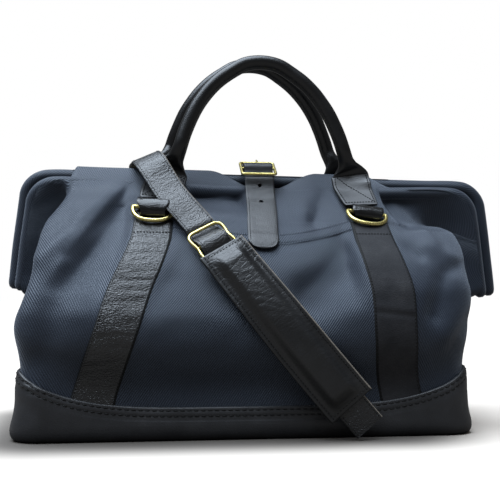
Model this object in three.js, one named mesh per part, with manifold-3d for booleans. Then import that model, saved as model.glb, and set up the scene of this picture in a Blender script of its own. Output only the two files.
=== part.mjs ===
// A soft frame-mouth trunk bag: canvas walls on a leather base, leather straps and handles, brass hardware.
// Millimetres. X runs along the bag, -Y is its front, +Z is up.
// The origin is the middle of the base's underside.
import * as THREE from 'three';
import { mergeVertices } from 'three/addons/utils/BufferGeometryUtils.js';
import Module from 'manifold-3d';

const wasm = await Module();
wasm.setup();

const { clamp, lerp, smoothstep, degToRad } = THREE.MathUtils;
const FRONT = -1;
const BACK = 1;
const LEFT = -1;
const RIGHT = 1;

// Sheet thicknesses and clearances
const GAP = 0.4; // clear space between neighbouring pieces
const LAY = 1.4; // clear space under leather that is sewn on the canvas
const CANVAS = 1.8;
const LEATHER = 2;

// Leather base
const BASE_LENGTH = 478;
const BASE_DEPTH = 238;
const BASE_CORNER = 30; // corner radius in plan
const BASE_WALL = 2.5;
const BASE_FLOOR = 3;
const BASE_LOW = 34; // height of the upper edge at mid length
const BASE_RISE = 38; // how much higher the edge stands at the corners
const BASE_RISE_POWER = 4.5;

// Mouth frame: two inverted-U bars side by side. The back one is larger and stands higher.
const RIM_RADIUS = 5.5;
const RIM_Y = 9; // bar's centre line from the middle of the mouth
const RIM_CORNER = 28;
const RIM_SAG = 7; // how far the front bar hangs down at mid length
const RIM_TOP = 270;
const RIM_LEG_TOP = 254; // half the length across the legs where they meet the corner
const RIM_LEG_FOOT = 265; // and at their lower ends
const RIM_FOOT_Z = 151;
const RIM_STEP_OUT = 15; // how far the back bar's legs stand outside the front bar's
const RIM_STEP_UP = 10;
const BACK_RAISE = 7; // how much higher the back wall's rings and tabs are sewn

// The frame has shifted along X over the base, and falls a little towards +X.
const LEAN = 20;
const FALL = 0.015;
const LEAN_FROM = 35;
const LEAN_TO = 230;

// Handles, rings and their loops
const TAB_LEATHER = 2.6;
const HANDLE_BORE = 16; // rolled handle's diameter
const HANDLE_SWAY = { [FRONT]: 6, [BACK]: -3 };
const RING_WIRE = 2.3; // wire radius
const RING_HALF = 21.7; // half the bar's length, to the wire's centre
const RING_DROP = 23.5; // from the bar to the bow, wire centres
const RING_BAR_X = 119;
const RING_BAR_Z = 237;
const LOOP_WIDTH = 34;
const LOOP_LEATHER = 1.8;
const LOOP_TAIL = 14;
const LOOP_TAIL_SHIFT = -2.7;
const LOOP_SWELL = 1.1;

// Closure
const TONGUE_WIDTH = 33;
const BUCKLE_WIDTH = 42;
const BUCKLE_LENGTH = 35;
const BUCKLE_BAR = 3.2;
const CLOSURE_X = LEAN + 2;
const PRONG_WIRE = 1;

// Shoulder strap
const SHOULDER_WIDTH = 34;
const SHOULDER_LEATHER = 2.4;
const SLIDE_PLATE = 3.4;
const SLIDE_PITCH = 19; // from the middle bar to an end bar
const SLIDE_WEAVE = 4.1; // how far the strap passes over or under a bar's centre
const PAD_HALF = 27;

const WALL_Y = RIM_Y + RIM_RADIUS + 0.6 + CANVAS; // outer face of the canvas where it covers a frame bar

function table(columns, rows) {
  return rows.map((row) => Object.fromEntries(columns.map((name, i) => [name, row[i]])));
}

// Levels of a canvas wall, from the mouth frame down into the base, with depths from the bag's middle plane.
// mid is the wall at mid length, fold the outer corner of its bulge, tuck the bottom of the recess behind it,
// and edge the end of the wall, which follows the frame's leg where rim is 1 and then closes to the end seam.
const WALL_ROWS = table(
  ['midZ', 'midY', 'z', 'foldLeft', 'foldRight', 'foldY', 'tuckX', 'tuckY', 'edgeX', 'edgeY', 'edgeZ', 'rim'],
  [
    [265, WALL_Y, 272, 184, 181, WALL_Y, 226, WALL_Y, 246, WALL_Y, 262, 1],
    [256, 32, 261, 185, 183, 24, 219, 19.5, 254, WALL_Y, 242, 1],
    [242, 48, 245, 193, 188, 36, 212, 21, 256, WALL_Y, 226, 1],
    [224, 66, 226, 202, 197, 52, 208, 23, 258, WALL_Y, 208, 1],
    [204, 85, 205, 211, 236, 70, 208, 26, 260, WALL_Y, 190, 1],
    [180, 103, 180, 217, 242, 86, 211, 30, 262.6, WALL_Y, 170, 1],
    [156, 115, 156, 223, 242, 98, 217, 35, 265, WALL_Y, 152, 1],
    [140, 121, 140, 230, 240, 104, 228, 41, 252, 7, 138, 0.5],
    [122, 125.5, 122, 234, 239, 108, 236, 46, 238, 0.5, 122, 0],
    [98, 126, 98, 234, 236, 109, 236, 48, 237, 0.5, 98, 0],
    [74, 120, 74, 228, 228, 103, 231, 46, 232, 0.5, 74, 0],
    [48, 110.5, 48, 225, 225, 97, 230, 45, 231.5, 0.5, 48, 0],
    [30, 108, 30, 224, 224, 96, 229.5, 44, 231.5, 0.5, 30, 0],
    [8, 107.5, 8, 223, 223, 95, 229, 44, 231, 0.5, 8, 0],
  ],
);

// Soft valleys pressed into each wall: a line from one end to the other, its half width and its depth.
const FOLD_COLUMNS = ['fromX', 'fromZ', 'toX', 'toZ', 'width', 'depth'];
const FOLDS = {
  [FRONT]: table(FOLD_COLUMNS, [
    [-125, 264, -200, 176, 17, 10],
    [-38, 258, -14, 250, 20, 9],
    [52, 262, 88, 260, 18, 5],
    [102, 194, 66, 158, 17, 5],
    [172, 254, 196, 196, 16, 7],
    [186, 186, 222, 112, 17, 6],
    [-196, 150, -206, 92, 18, 5],
  ]),
  [BACK]: table(FOLD_COLUMNS, [
    [-60, 262, -30, 250, 22, 6],
    [70, 262, 100, 246, 20, 6],
    [180, 240, 205, 150, 18, 6],
    [-165, 230, -200, 150, 18, 6],
    [-20, 190, 30, 140, 22, 4],
  ]),
};

// Half the distance between the two straps of a wall, at a few heights, before the lean
const STRAP_ROWS = table(
  ['z', 'half', 'width'],
  [
    [26, 161, 46],
    [41, 159, 46],
    [75, 151, 46],
    [113, 143, 46],
    [153, 136, 46],
    [180, 128, 45],
    [206, 121, 43],
    [226.5, 119, 41],
  ],
);

// One half of a handle, from the foot of its tab to the top of the bow. Where lift is given, the tab lies on
// the canvas at that height.
const HANDLE_ROWS = table(
  ['half', 'y', 'z', 'width', 'thick', 'lift'],
  [
    [115, 0, 243.5, 41, TAB_LEATHER, 6.7],
    [112.5, 0, 254, 43, TAB_LEATHER, 6.2],
    [110, 0, 264, 44, TAB_LEATHER, 5.5],
    [107, 24.5, 277, 45, 3, 0],
    [104.5, 25, 287, 43, 4.5, 0],
    [101.5, 24.5, 296, 26, 10, 0],
    [98.5, 23.5, 303, 17.5, 15, 0],
    [94, 22.5, 316, HANDLE_BORE, HANDLE_BORE, 0],
    [90, 21.5, 329, HANDLE_BORE, HANDLE_BORE, 0],
    [84.5, 20, 343, HANDLE_BORE, HANDLE_BORE, 0],
    [78, 18.5, 357, HANDLE_BORE, HANDLE_BORE, 0],
    [70, 17, 370, HANDLE_BORE, HANDLE_BORE, 0],
    [60.5, 16, 382.5, HANDLE_BORE, HANDLE_BORE, 0],
    [49, 15, 394, HANDLE_BORE, HANDLE_BORE, 0],
    [35.5, 14, 404, HANDLE_BORE, HANDLE_BORE, 0],
    [19, 13.3, 413.5, HANDLE_BORE, HANDLE_BORE, 0],
    [0, 13, 416.5, HANDLE_BORE, HANDLE_BORE, 0],
  ],
);

// Shoulder strap from the back of the mouth to its free end: its middle line, and the way its face looks
const SHOULDER_ROWS = table(
  ['x', 'y', 'z', 'faceX', 'faceY', 'faceZ'],
  [
    [-103, 52, 281, 0, 0.85, 0.5],
    [-110, 42, 292, -0.15, 0.75, 0.6],
    [-118.5, 28, 301, -0.3, 0.4, 0.85],
    [-111, 4, 305, -0.4, 0, 0.9],
    [-106, -17, 303, -0.35, -0.35, 0.85],
    [-100, -36, 293.5, -0.15, -0.8, 0.55],
    [-90, -47, 276, 0, -0.85, 0.5],
    [-82, -56, 262, 0, -0.82, 0.55],
    [-70, -68, 246, 0, -0.8, 0.6],
    [-56, -79, 229, 0, -0.82, 0.57],
    [-37, -99.5, 204, 0, -0.83, 0.55],
    [-20, -112.5, 183, 0, -0.88, 0.47],
    [11, -127, 144, 0, -0.95, 0.3],
    [49, -135, 97, 0, -1, 0.05],
    [88.5, -136.5, 50, 0, -1, 0],
    [120, -138, 13.5, 0, -1, 0],
  ],
);
const SLIDE_ROW = 10; // the row of the strap's route that the slide sits on

const vec = (x, y, z) => new THREE.Vector3(x, y, z);

function finish(name, { color, roughness, metalness = 0 }) {
  return new THREE.MeshStandardMaterial({ name, color, roughness, metalness });
}
const NAVY_CANVAS = finish('navy_canvas', { color: 0x1f2733, roughness: 0.9 });
const BLACK_LEATHER = finish('black_leather', { color: 0x17171a, roughness: 0.5 });
const BRASS = finish('brass', { color: 0xc2ab69, roughness: 0.35, metalness: 1 });

const bag = new THREE.Group();

function add(name, geometry, material, frame) {
  geometry.computeVertexNormals();
  const mesh = new THREE.Mesh(geometry, material);
  mesh.name = name;
  if (frame) {
    mesh.position.copy(frame.origin);
    mesh.quaternion.setFromRotationMatrix(new THREE.Matrix4().makeBasis(frame.x, frame.y, frame.z));
  }
  bag.add(mesh);
  return mesh;
}

// A closed surface with its faces turned outwards
function solid(points, triangles) {
  const sixfold = ([a, b, c]) => points[a].dot(points[b].clone().cross(points[c]));
  const volume = triangles.reduce((sum, triangle) => sum + sixfold(triangle), 0);
  const turned = volume < 0 ? triangles.map(([a, b, c]) => [a, c, b]) : triangles;
  const geometry = new THREE.BufferGeometry().setFromPoints(points);
  return geometry.setIndex(turned.flat());
}

function pushQuad(triangles, a, b, c, d) {
  triangles.push([a, b, c], [a, c, d]);
}

// A sheet between two grids of points, closed round its border
function sheet(outer, inner) {
  const rows = outer.length;
  const columns = outer[0].length;
  const at = (layer, row, column) => (layer * rows + row) * columns + column;
  const triangles = [];
  for (let r = 0; r + 1 < rows; r += 1) {
    for (let c = 0; c + 1 < columns; c += 1) {
      pushQuad(triangles, at(0, r, c), at(0, r, c + 1), at(0, r + 1, c + 1), at(0, r + 1, c));
      pushQuad(triangles, at(1, r, c), at(1, r + 1, c), at(1, r + 1, c + 1), at(1, r, c + 1));
    }
  }
  const border = [];
  for (let c = 0; c + 1 < columns; c += 1) border.push([0, c]);
  for (let r = 0; r + 1 < rows; r += 1) border.push([r, columns - 1]);
  for (let c = columns - 1; c > 0; c -= 1) border.push([rows - 1, c]);
  for (let r = rows - 1; r > 0; r -= 1) border.push([r, 0]);
  border.forEach(([r, c], i) => {
    const [nextR, nextC] = border[(i + 1) % border.length];
    pushQuad(triangles, at(0, nextR, nextC), at(0, r, c), at(1, r, c), at(1, nextR, nextC));
  });
  return solid([...outer.flat(), ...inner.flat()], triangles);
}

// A solid through a row of closed sections of equal point count, capped at both ends unless it closes
function loft(sections, closed = false) {
  const count = sections[0].length;
  const points = sections.flat();
  const triangles = [];
  const last = closed ? sections.length : sections.length - 1;
  for (let s = 0; s < last; s += 1) {
    const next = (s + 1) % sections.length;
    for (let i = 0; i < count; i += 1) {
      const j = (i + 1) % count;
      pushQuad(triangles, s * count + i, s * count + j, next * count + j, next * count + i);
    }
  }
  if (!closed) {
    const endStart = (sections.length - 1) * count;
    for (let i = 1; i + 1 < count; i += 1) {
      triangles.push([0, i + 1, i], [endStart, endStart + i, endStart + i + 1]);
    }
  }
  return solid(points, triangles);
}

function toManifold(geometry) {
  const bare = new THREE.BufferGeometry();
  bare.setAttribute('position', geometry.getAttribute('position').clone());
  if (geometry.index) bare.setIndex(geometry.index.clone());
  const merged = mergeVertices(bare, 1e-4);
  const vertProperties = new Float32Array(merged.getAttribute('position').array);
  const triVerts = new Uint32Array(merged.index.array);
  return new wasm.Manifold(new wasm.Mesh({ numProp: 3, vertProperties, triVerts }));
}

function cutAway(geometry, tools) {
  const result = tools.reduce((body, tool) => body.subtract(toManifold(tool)), toManifold(geometry));
  const mesh = result.getMesh();
  const cut = new THREE.BufferGeometry();
  cut.setAttribute('position', new THREE.BufferAttribute(new Float32Array(mesh.vertProperties), 3));
  return cut.setIndex(new THREE.BufferAttribute(new Uint32Array(mesh.triVerts), 1));
}

// A point of the mouth frame, given before the lean
const onFrame = (x, y, z) => vec(x + LEAN, y, z - x * FALL);

const bodyLean = (z) => LEAN * smoothstep(z, LEAN_FROM, LEAN_TO);

function baseEdge(x) {
  const share = Math.min((Math.abs(x) * 2) / BASE_LENGTH, 1);
  return BASE_LOW + BASE_RISE * share ** BASE_RISE_POWER;
}

// Canvas walls
function wallControls(row, side) {
  const stepUp = side === BACK ? RIM_STEP_UP : 0;
  const stepOut = side === BACK ? RIM_STEP_OUT : 0;
  const raise = stepUp * smoothstep(row.z, 200, 265);
  const fall = smoothstep(row.z, 150, 260) * FALL;
  const hold = Math.max(row.rim, smoothstep(row.z, 110, 150));
  const rimX = row.edgeX + stepOut * row.rim;
  const rimZ = row.edgeZ + stepUp * row.rim;
  const tuckX = row.tuckX + stepOut * row.rim * smoothstep(row.z, 245, 270);
  const sag = side === BACK ? lerp(row.midZ, row.z, smoothstep(row.z, 240, 270)) : row.midZ;
  const point = (x, y, z, lean) => vec(x + lean, side * y, z - x * fall);
  return [
    point(-rimX, row.edgeY, rimZ, LEAN * hold),
    point(-tuckX, row.tuckY, row.z + raise, LEAN * hold),
    point(-row.foldLeft, row.foldY, row.z + raise, 0),
    point(0, row.midY, sag + raise, bodyLean(row.midZ)),
    point(row.foldRight, row.foldY, row.z + raise, 0),
    point(tuckX, row.tuckY, row.z + raise, LEAN * hold),
    point(rimX, row.edgeY, rimZ, LEAN * hold),
  ];
}

function strapHalf(z) {
  const above = STRAP_ROWS.findIndex((row) => row.z >= z);
  if (above <= 0) return STRAP_ROWS.at(above).half;
  const [a, b] = [STRAP_ROWS[above - 1], STRAP_ROWS[above]];
  return lerp(a.half, b.half, (z - a.z) / (b.z - a.z));
}

// How far the valleys press the wall in at a place. Sewn straps hold the canvas flat beside them.
function foldDepth(side, x, z) {
  const toStrap = Math.min(...[LEFT, RIGHT].map((end) => Math.abs(x - end * strapHalf(z) - bodyLean(z))));
  const free = smoothstep(toStrap, 22, 48);
  return free * FOLDS[side].reduce((sum, fold) => {
    const alongX = fold.toX - fold.fromX;
    const alongZ = fold.toZ - fold.fromZ;
    const share = ((x - fold.fromX) * alongX + (z - fold.fromZ) * alongZ) / (alongX ** 2 + alongZ ** 2);
    const held = clamp(share, 0, 1);
    const distance = Math.hypot(x - fold.fromX - held * alongX, z - fold.fromZ - held * alongZ);
    return sum + fold.depth * Math.exp(-((distance / fold.width) ** 2));
  }, 0);
}

function wallGrid(side, rowSteps, columnSteps) {
  const controls = WALL_ROWS.map((row) => wallControls(row, side));
  const traces = controls[0].map((_, i) => new THREE.CatmullRomCurve3(controls.map((points) => points[i])));
  const shares = columnSteps.flatMap((steps, segment) =>
    Array.from({ length: steps }, (_, k) => (segment + k / steps) / columnSteps.length));
  shares.push(1);
  return Array.from({ length: rowSteps + 1 }, (_, r) => {
    const across = new THREE.CatmullRomCurve3(traces.map((trace) => trace.getPoint(r / rowSteps)));
    const edgeFade = smoothstep(r / rowSteps, 0, 0.06);
    return shares.map((share) => {
      const point = across.getPoint(share);
      const inner = smoothstep(Math.min(share, 1 - share), 0.1, 0.34);
      point.y -= side * inner * edgeFade * foldDepth(side, point.x, point.z);
      return point;
    });
  });
}

// Grid normals by differences, turned to the outside
function gridNormals(grid, outside) {
  const lastRow = grid.length - 1;
  const lastColumn = grid[0].length - 1;
  const at = (r, c) => grid[clamp(r, 0, lastRow)][clamp(c, 0, lastColumn)];
  const normals = grid.map((row, r) => row.map((_, c) => {
    const along = at(r, c + 1).clone().sub(at(r, c - 1));
    const down = at(r + 1, c).clone().sub(at(r - 1, c));
    return along.cross(down).normalize();
  }));
  const middle = normals[grid.length >> 1][grid[0].length >> 1];
  const flip = middle.dot(outside) < 0 ? -1 : 1;
  return normals.map((row) => row.map((normal) => normal.multiplyScalar(flip)));
}

const lifted = (grid, normals, height) =>
  grid.map((row, r) => row.map((point, c) => point.clone().addScaledVector(normals[r][c], height)));

const canvas = {};
const CANVAS_STEPS = { [FRONT]: [19, [2, 4, 8, 8, 4, 2]], [BACK]: [17, [2, 4, 7, 7, 4, 2]] };
for (const [side, name] of [[FRONT, 'canvas_front'], [BACK, 'canvas_back']]) {
  const grid = wallGrid(side, ...CANVAS_STEPS[side]);
  const normals = gridNormals(grid, vec(0, side, 0));
  canvas[side] = add(name, sheet(grid, lifted(grid, normals, -CANVAS)), NAVY_CANVAS);
}

// Where a line along Y first meets the outside of a wall
const caster = new THREE.Raycaster();
function wallHit(side, x, z) {
  caster.set(vec(x, side * 400, z), vec(0, -side, 0));
  return caster.intersectObject(canvas[side])[0]?.point;
}

const PROBE = 5; // reach of the differences that give the wall's direction
function seat(side, x, z, lift = 0) {
  const point = wallHit(side, x, z);
  const probe = (dx, dz) => wallHit(side, x + dx, z + dz) ?? point;
  const along = probe(PROBE, 0).clone().sub(probe(-PROBE, 0));
  const up = probe(0, PROBE).clone().sub(probe(0, -PROBE));
  const normal = along.cross(up).normalize();
  if (normal.y * side < 0) normal.negate();
  return { point: point.clone().addScaledVector(normal, lift), normal };
}

// A flat piece of sewn leather or cloth laid on a wall, from a grid of places in X and Z
function laidOnWall(side, places, thickness, lay = LAY) {
  const seats = places.map((row) => row.map(([x, z]) => seat(side, x, z)));
  const points = seats.map((row) => row.map(({ point }) => point));
  const normals = seats.map((row) => row.map(({ normal }) => normal));
  return sheet(lifted(points, normals, lay + thickness), lifted(points, normals, lay));
}

// Leather base: outside from the underside up to the edge, then inside down to the floor
const BASE_LEVELS = table(
  ['share', 'z', 'inset'],
  [
    [0, 0, 7],
    [0, 2.2, 2.2],
    [0, 7, 0.2],
    [0, 18, -0.6],
    [0.7, 0, 0.4],
    [1, 0, 0],
    [1, 0, BASE_WALL],
    [0.6, 0, BASE_WALL + 0.2],
    [0, 8, BASE_WALL + 0.4],
    [0, BASE_FLOOR, BASE_WALL + 5],
  ],
);

function baseLoop(inset) {
  const shape = new THREE.Shape();
  const [halfX, halfY] = [BASE_LENGTH / 2 - inset, BASE_DEPTH / 2 - inset];
  const radius = Math.max(BASE_CORNER - inset, 2);
  const corners = [[1, -1, -90], [1, 1, 0], [-1, 1, 90], [-1, -1, 180]];
  for (const [x, y, from] of corners) {
    const start = degToRad(from);
    shape.absarc(x * (halfX - radius), y * (halfY - radius), radius, start, start + Math.PI / 2, false);
  }
  shape.closePath();
  return shape;
}

const BASE_ARC_STEPS = 3;
const BASE_LONG_STEPS = 10;
function baseRing({ share, z, inset }) {
  const loop = baseLoop(inset).getPoints(BASE_ARC_STEPS);
  const ring = [];
  loop.forEach((point, i) => {
    const next = loop[(i + 1) % loop.length];
    const length = point.distanceTo(next);
    if (length < 0.01) return;
    const steps = length > BASE_LENGTH / 2 ? BASE_LONG_STEPS : 1;
    for (let k = 0; k < steps; k += 1) ring.push(point.clone().lerp(next, k / steps));
  });
  return ring.map((point) => vec(point.x, point.y, share > 0 ? share * baseEdge(point.x) : z));
}
add('leather_base', loft(BASE_LEVELS.map(baseRing)), BLACK_LEATHER);

// Mouth frame bars
function rimPath(side) {
  const [out, up] = side === BACK ? [RIM_STEP_OUT, RIM_STEP_UP] : [0, 0];
  const sag = side === BACK ? 0 : RIM_SAG;
  const legTop = RIM_LEG_TOP + out;
  const top = RIM_TOP + up;
  const half = [[RIM_LEG_FOOT + out, RIM_FOOT_Z + up]];
  half.push([lerp(legTop, RIM_LEG_FOOT + out, 0.5), lerp(top - RIM_CORNER, RIM_FOOT_Z + up, 0.5)]);
  const arcSteps = 5;
  for (let k = 0; k <= arcSteps; k += 1) {
    const angle = (k / arcSteps) * Math.PI / 2;
    half.push([legTop - RIM_CORNER * (1 - Math.cos(angle)), top - RIM_CORNER * (1 - Math.sin(angle))]);
  }
  const straight = legTop - RIM_CORNER;
  for (const share of [0.75, 0.5, 0.25]) {
    half.push([straight * share, top - sag * Math.cos(share * Math.PI / 2) ** 2]);
  }
  const left = half.map(([x, z]) => onFrame(-x, side * RIM_Y, z));
  const right = half.map(([x, z]) => onFrame(x, side * RIM_Y, z)).reverse();
  return [...left, onFrame(0, side * RIM_Y, top - sag), ...right];
}

// A round bar along a path that lies in a plane with the given normal
function planarBar(path, normal, radius, sides, closed = false) {
  const count = path.length;
  const at = (i) => (closed ? path[(i + count) % count] : path[clamp(i, 0, count - 1)]);
  return loft(path.map((point, i) => {
    const before = point.clone().sub(at(i - 1)).normalize();
    const after = at(i + 1).clone().sub(point).normalize();
    const tangent = before.add(after).normalize();
    const across = tangent.clone().cross(normal).normalize();
    const turn = after.lengthSq() > 0 ? after.dot(tangent) : 1;
    return Array.from({ length: sides }, (_, k) => {
      const angle = (k / sides) * Math.PI * 2;
      const spread = across.clone().multiplyScalar((radius * Math.cos(angle)) / Math.max(turn, 0.7));
      return point.clone().add(spread).addScaledVector(normal, radius * Math.sin(angle));
    });
  }), closed);
}
add('rim_front', planarBar(rimPath(FRONT), vec(0, 1, 0), RIM_RADIUS, 8), NAVY_CANVAS);
add('rim_back', planarBar(rimPath(BACK), vec(0, 1, 0), RIM_RADIUS, 8), NAVY_CANVAS);

// Sewn straps up the walls
const STRAP_ROW_STEPS = 14;
const STRAP_COLUMNS = [-0.5, -0.17, 0.17, 0.5];
function wallStrap(side, end) {
  const route = new THREE.CatmullRomCurve3(STRAP_ROWS.map((row) => vec(row.half, row.width, row.z)));
  const places = Array.from({ length: STRAP_ROW_STEPS + 1 }, (_, r) => {
    const { x: half, y: width, z: height } = route.getPoint(r / STRAP_ROW_STEPS);
    const z = height + (side === BACK ? BACK_RAISE * smoothstep(height, 180, 226) : 0);
    return STRAP_COLUMNS.map((share) => [end * half + bodyLean(z) + share * width, z]);
  });
  return laidOnWall(side, places, LEATHER);
}

// Slip pocket between the front straps
const POCKET = { bottom: 28, hem: 220, sag: 16, cloth: 1.2, lay: 1.6, rows: 10, columns: 12, strapHalf: 25 };
function pocketPlaces() {
  return Array.from({ length: POCKET.rows + 1 }, (_, r) =>
    Array.from({ length: POCKET.columns + 1 }, (_, c) => {
      const across = c / POCKET.columns;
      const hem = POCKET.hem - POCKET.sag * Math.sin(across * Math.PI);
      const z = lerp(POCKET.bottom, hem, r / POCKET.rows);
      const reach = strapHalf(z) - POCKET.strapHalf;
      return [bodyLean(z) + lerp(-reach, reach, across), z];
    }));
}
add('pocket_front', laidOnWall(FRONT, pocketPlaces(), POCKET.cloth, POCKET.lay), NAVY_CANVAS);

// Handles
const HANDLE_SIDES = 10;
function handleSection({ point, normal, width, thick }, tangent) {
  const across = tangent.clone().cross(normal).normalize();
  const out = across.clone().cross(tangent).normalize();
  const square = lerp(0.3, 1, thick / width);
  const shaped = (value) => Math.sign(value) * Math.abs(value) ** square;
  return Array.from({ length: HANDLE_SIDES }, (_, k) => {
    const angle = ((k + 0.5) / HANDLE_SIDES) * Math.PI * 2;
    return point.clone()
      .addScaledVector(across, shaped(Math.cos(angle)) * width / 2)
      .addScaledVector(out, shaped(Math.sin(angle)) * thick / 2);
  });
}

function handleStation(side, end, row) {
  const sway = HANDLE_SWAY[side] * smoothstep(row.z, 240, 310);
  const raise = side === BACK ? lerp(BACK_RAISE, 2, smoothstep(row.z, 285, 330)) : 0;
  const place = onFrame(end * row.half, side * row.y, row.z + raise);
  place.x += sway;
  if (!row.lift) return { ...row, point: place, normal: vec(0, side, 0) };
  return { ...row, ...seat(side, place.x, place.z, row.lift) };
}

function handle(side) {
  const half = (end) => HANDLE_ROWS.map((row) => handleStation(side, end, row));
  const stations = [...half(LEFT), ...half(RIGHT).reverse().slice(1)];
  return loft(stations.map((station, i) => {
    const before = stations[Math.max(i - 1, 0)].point;
    const after = stations[Math.min(i + 1, stations.length - 1)].point;
    return handleSection(station, after.clone().sub(before).normalize());
  }));
}

// A flat plate with its middle plane at z 0
function plate(shape, thickness, curveSegments) {
  const geometry = new THREE.ExtrudeGeometry(shape, { depth: thickness, bevelEnabled: false, curveSegments });
  return geometry.translate(0, 0, -thickness / 2);
}

// A leather loop round a bar, with its two layers sewn together as a tail. Local X runs along the bar,
// Y points away from the tail and Z out of the bag. swell is how far the roll is puffed out from the wall.
function barLoop(bore, leather, tailLength, tailShift, width, swell = 0) {
  const outer = bore + leather;
  const layers = leather * 1.7;
  const profile = new THREE.Shape();
  profile.moveTo(-tailLength, tailShift - layers / 2);
  profile.lineTo(-outer, tailShift - layers / 2);
  profile.absarc(swell, swell, outer + swell, degToRad(-115), degToRad(140), false);
  profile.lineTo(-outer - 1.6, tailShift + layers / 2);
  profile.lineTo(-tailLength, tailShift + layers / 2);
  profile.closePath();
  const hole = new THREE.Path();
  hole.absarc(0, 0, bore, 0, Math.PI * 2, true);
  profile.holes.push(hole);
  const geometry = plate(profile, width, 5);
  const turn = new THREE.Matrix4().makeBasis(vec(0, 1, 0), vec(0, 0, 1), vec(1, 0, 0));
  return geometry.applyMatrix4(turn);
}

// D-ring in its own frame: the bar along X through the origin, the bow towards +Y
function dRing() {
  const bowSteps = 12;
  const squareness = 0.8;
  const path = [];
  for (let k = 0; k <= bowSteps; k += 1) {
    const angle = (k / bowSteps) * Math.PI;
    const x = Math.sign(Math.cos(angle)) * Math.abs(Math.cos(angle)) ** squareness;
    path.push(vec(RING_HALF * x, RING_DROP * Math.sin(angle) ** squareness, 0));
  }
  path.push(vec(0, 0, 0));
  return planarBar(path, vec(0, 0, 1), RING_WIRE, 6, true);
}

const LOOP_BORE = RING_WIRE + 0.35;
const RING_LIFT = LOOP_BORE + LOOP_LEATHER + 0.5;
const RINGS = table(
  ['side', 'end', 'name', 'twist', 'stand'],
  [
    [FRONT, LEFT, 'front_left', -2, 5],
    [FRONT, RIGHT, 'front_right', -6, 8],
    [BACK, LEFT, 'back_left', 0, 130],
    [BACK, RIGHT, 'back_right', 0, 6],
  ],
);

// The bar's frame: X along the bar, Z out of the wall, Y down the wall
function ringFrame({ side, end, twist }) {
  const place = onFrame(end * RING_BAR_X, 0, RING_BAR_Z + (side === BACK ? BACK_RAISE : 0));
  const { point, normal } = seat(side, place.x, place.z, RING_LIFT);
  const bar = vec(-side, 0, side * FALL).applyAxisAngle(normal, degToRad(twist));
  const x = bar.addScaledVector(normal, -bar.dot(normal)).normalize();
  const y = normal.clone().cross(x).negate();
  return { origin: point, x: x.clone().negate(), y, z: normal };
}

const ringFrames = {};
for (const ring of RINGS) {
  const frame = ringFrame(ring);
  const stand = degToRad(ring.stand);
  const bow = frame.y.clone().multiplyScalar(Math.cos(stand)).addScaledVector(frame.z, Math.sin(stand));
  const ringAxes = { origin: frame.origin, x: frame.x, y: bow, z: frame.x.clone().cross(bow) };
  ringFrames[ring.name] = ringAxes;
  add(`strap_${ring.name}`, wallStrap(ring.side, ring.end), BLACK_LEATHER);
  const loop = barLoop(LOOP_BORE, LOOP_LEATHER, LOOP_TAIL, LOOP_TAIL_SHIFT, LOOP_WIDTH, LOOP_SWELL);
  add(`ring_loop_${ring.name}`, loop, BLACK_LEATHER, frame);
  add(`d_ring_${ring.name}`, dRing(), BRASS, ringAxes);
}
add('handle_front', handle(FRONT), BLACK_LEATHER);
add('handle_back', handle(BACK), BLACK_LEATHER);

// A flat strip along stations with a middle point and a facing direction
function strip(stations, width, thickness) {
  return loft(stations.map(({ point, normal, width: ownWidth = width }, i) => {
    const before = stations[Math.max(i - 1, 0)].point;
    const after = stations[Math.min(i + 1, stations.length - 1)].point;
    const across = after.clone().sub(before).cross(normal).normalize();
    const out = across.clone().cross(after.clone().sub(before)).normalize();
    return [[-1, -1], [1, -1], [1, 1], [-1, 1]].map(([a, b]) => point.clone()
      .addScaledVector(across, a * ownWidth / 2)
      .addScaledVector(out, b * thickness / 2));
  }));
}

// Closure buckle: a flat frame with a middle bar, tilted to face up and forward
const buckle = {
  origin: vec(CLOSURE_X, -9.5, 293),
  x: vec(1, 0, 0),
  y: vec(0, 27, 16).normalize(),
  z: vec(0, -16, 27).normalize(),
};
function atBuckle(along, out) {
  return buckle.origin.clone().addScaledVector(buckle.y, along).addScaledVector(buckle.z, out);
}

function roundedBox(shape, x0, y0, x1, y1, radius) {
  shape.moveTo(x0 + radius, y0);
  shape.lineTo(x1 - radius, y0);
  shape.absarc(x1 - radius, y0 + radius, radius, -Math.PI / 2, 0, false);
  shape.absarc(x1 - radius, y1 - radius, radius, 0, Math.PI / 2, false);
  shape.absarc(x0 + radius, y1 - radius, radius, Math.PI / 2, Math.PI, false);
  shape.absarc(x0 + radius, y0 + radius, radius, Math.PI, Math.PI * 1.5, false);
  shape.closePath();
  return shape;
}

function buckleFrame() {
  const [halfX, halfY] = [BUCKLE_WIDTH / 2, BUCKLE_LENGTH / 2];
  const shape = roundedBox(new THREE.Shape(), -halfX, -halfY, halfX, halfY, 4);
  const inX = halfX - BUCKLE_BAR;
  const inY = halfY - BUCKLE_BAR;
  shape.holes.push(roundedBox(new THREE.Path(), -inX, BUCKLE_BAR / 2, inX, inY, 1.5));
  shape.holes.push(roundedBox(new THREE.Path(), -inX, -inY, inX, -BUCKLE_BAR / 2, 1.5));
  return plate(shape, BUCKLE_BAR, 2);
}
add('closure_buckle', buckleFrame(), BRASS, buckle);

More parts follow.
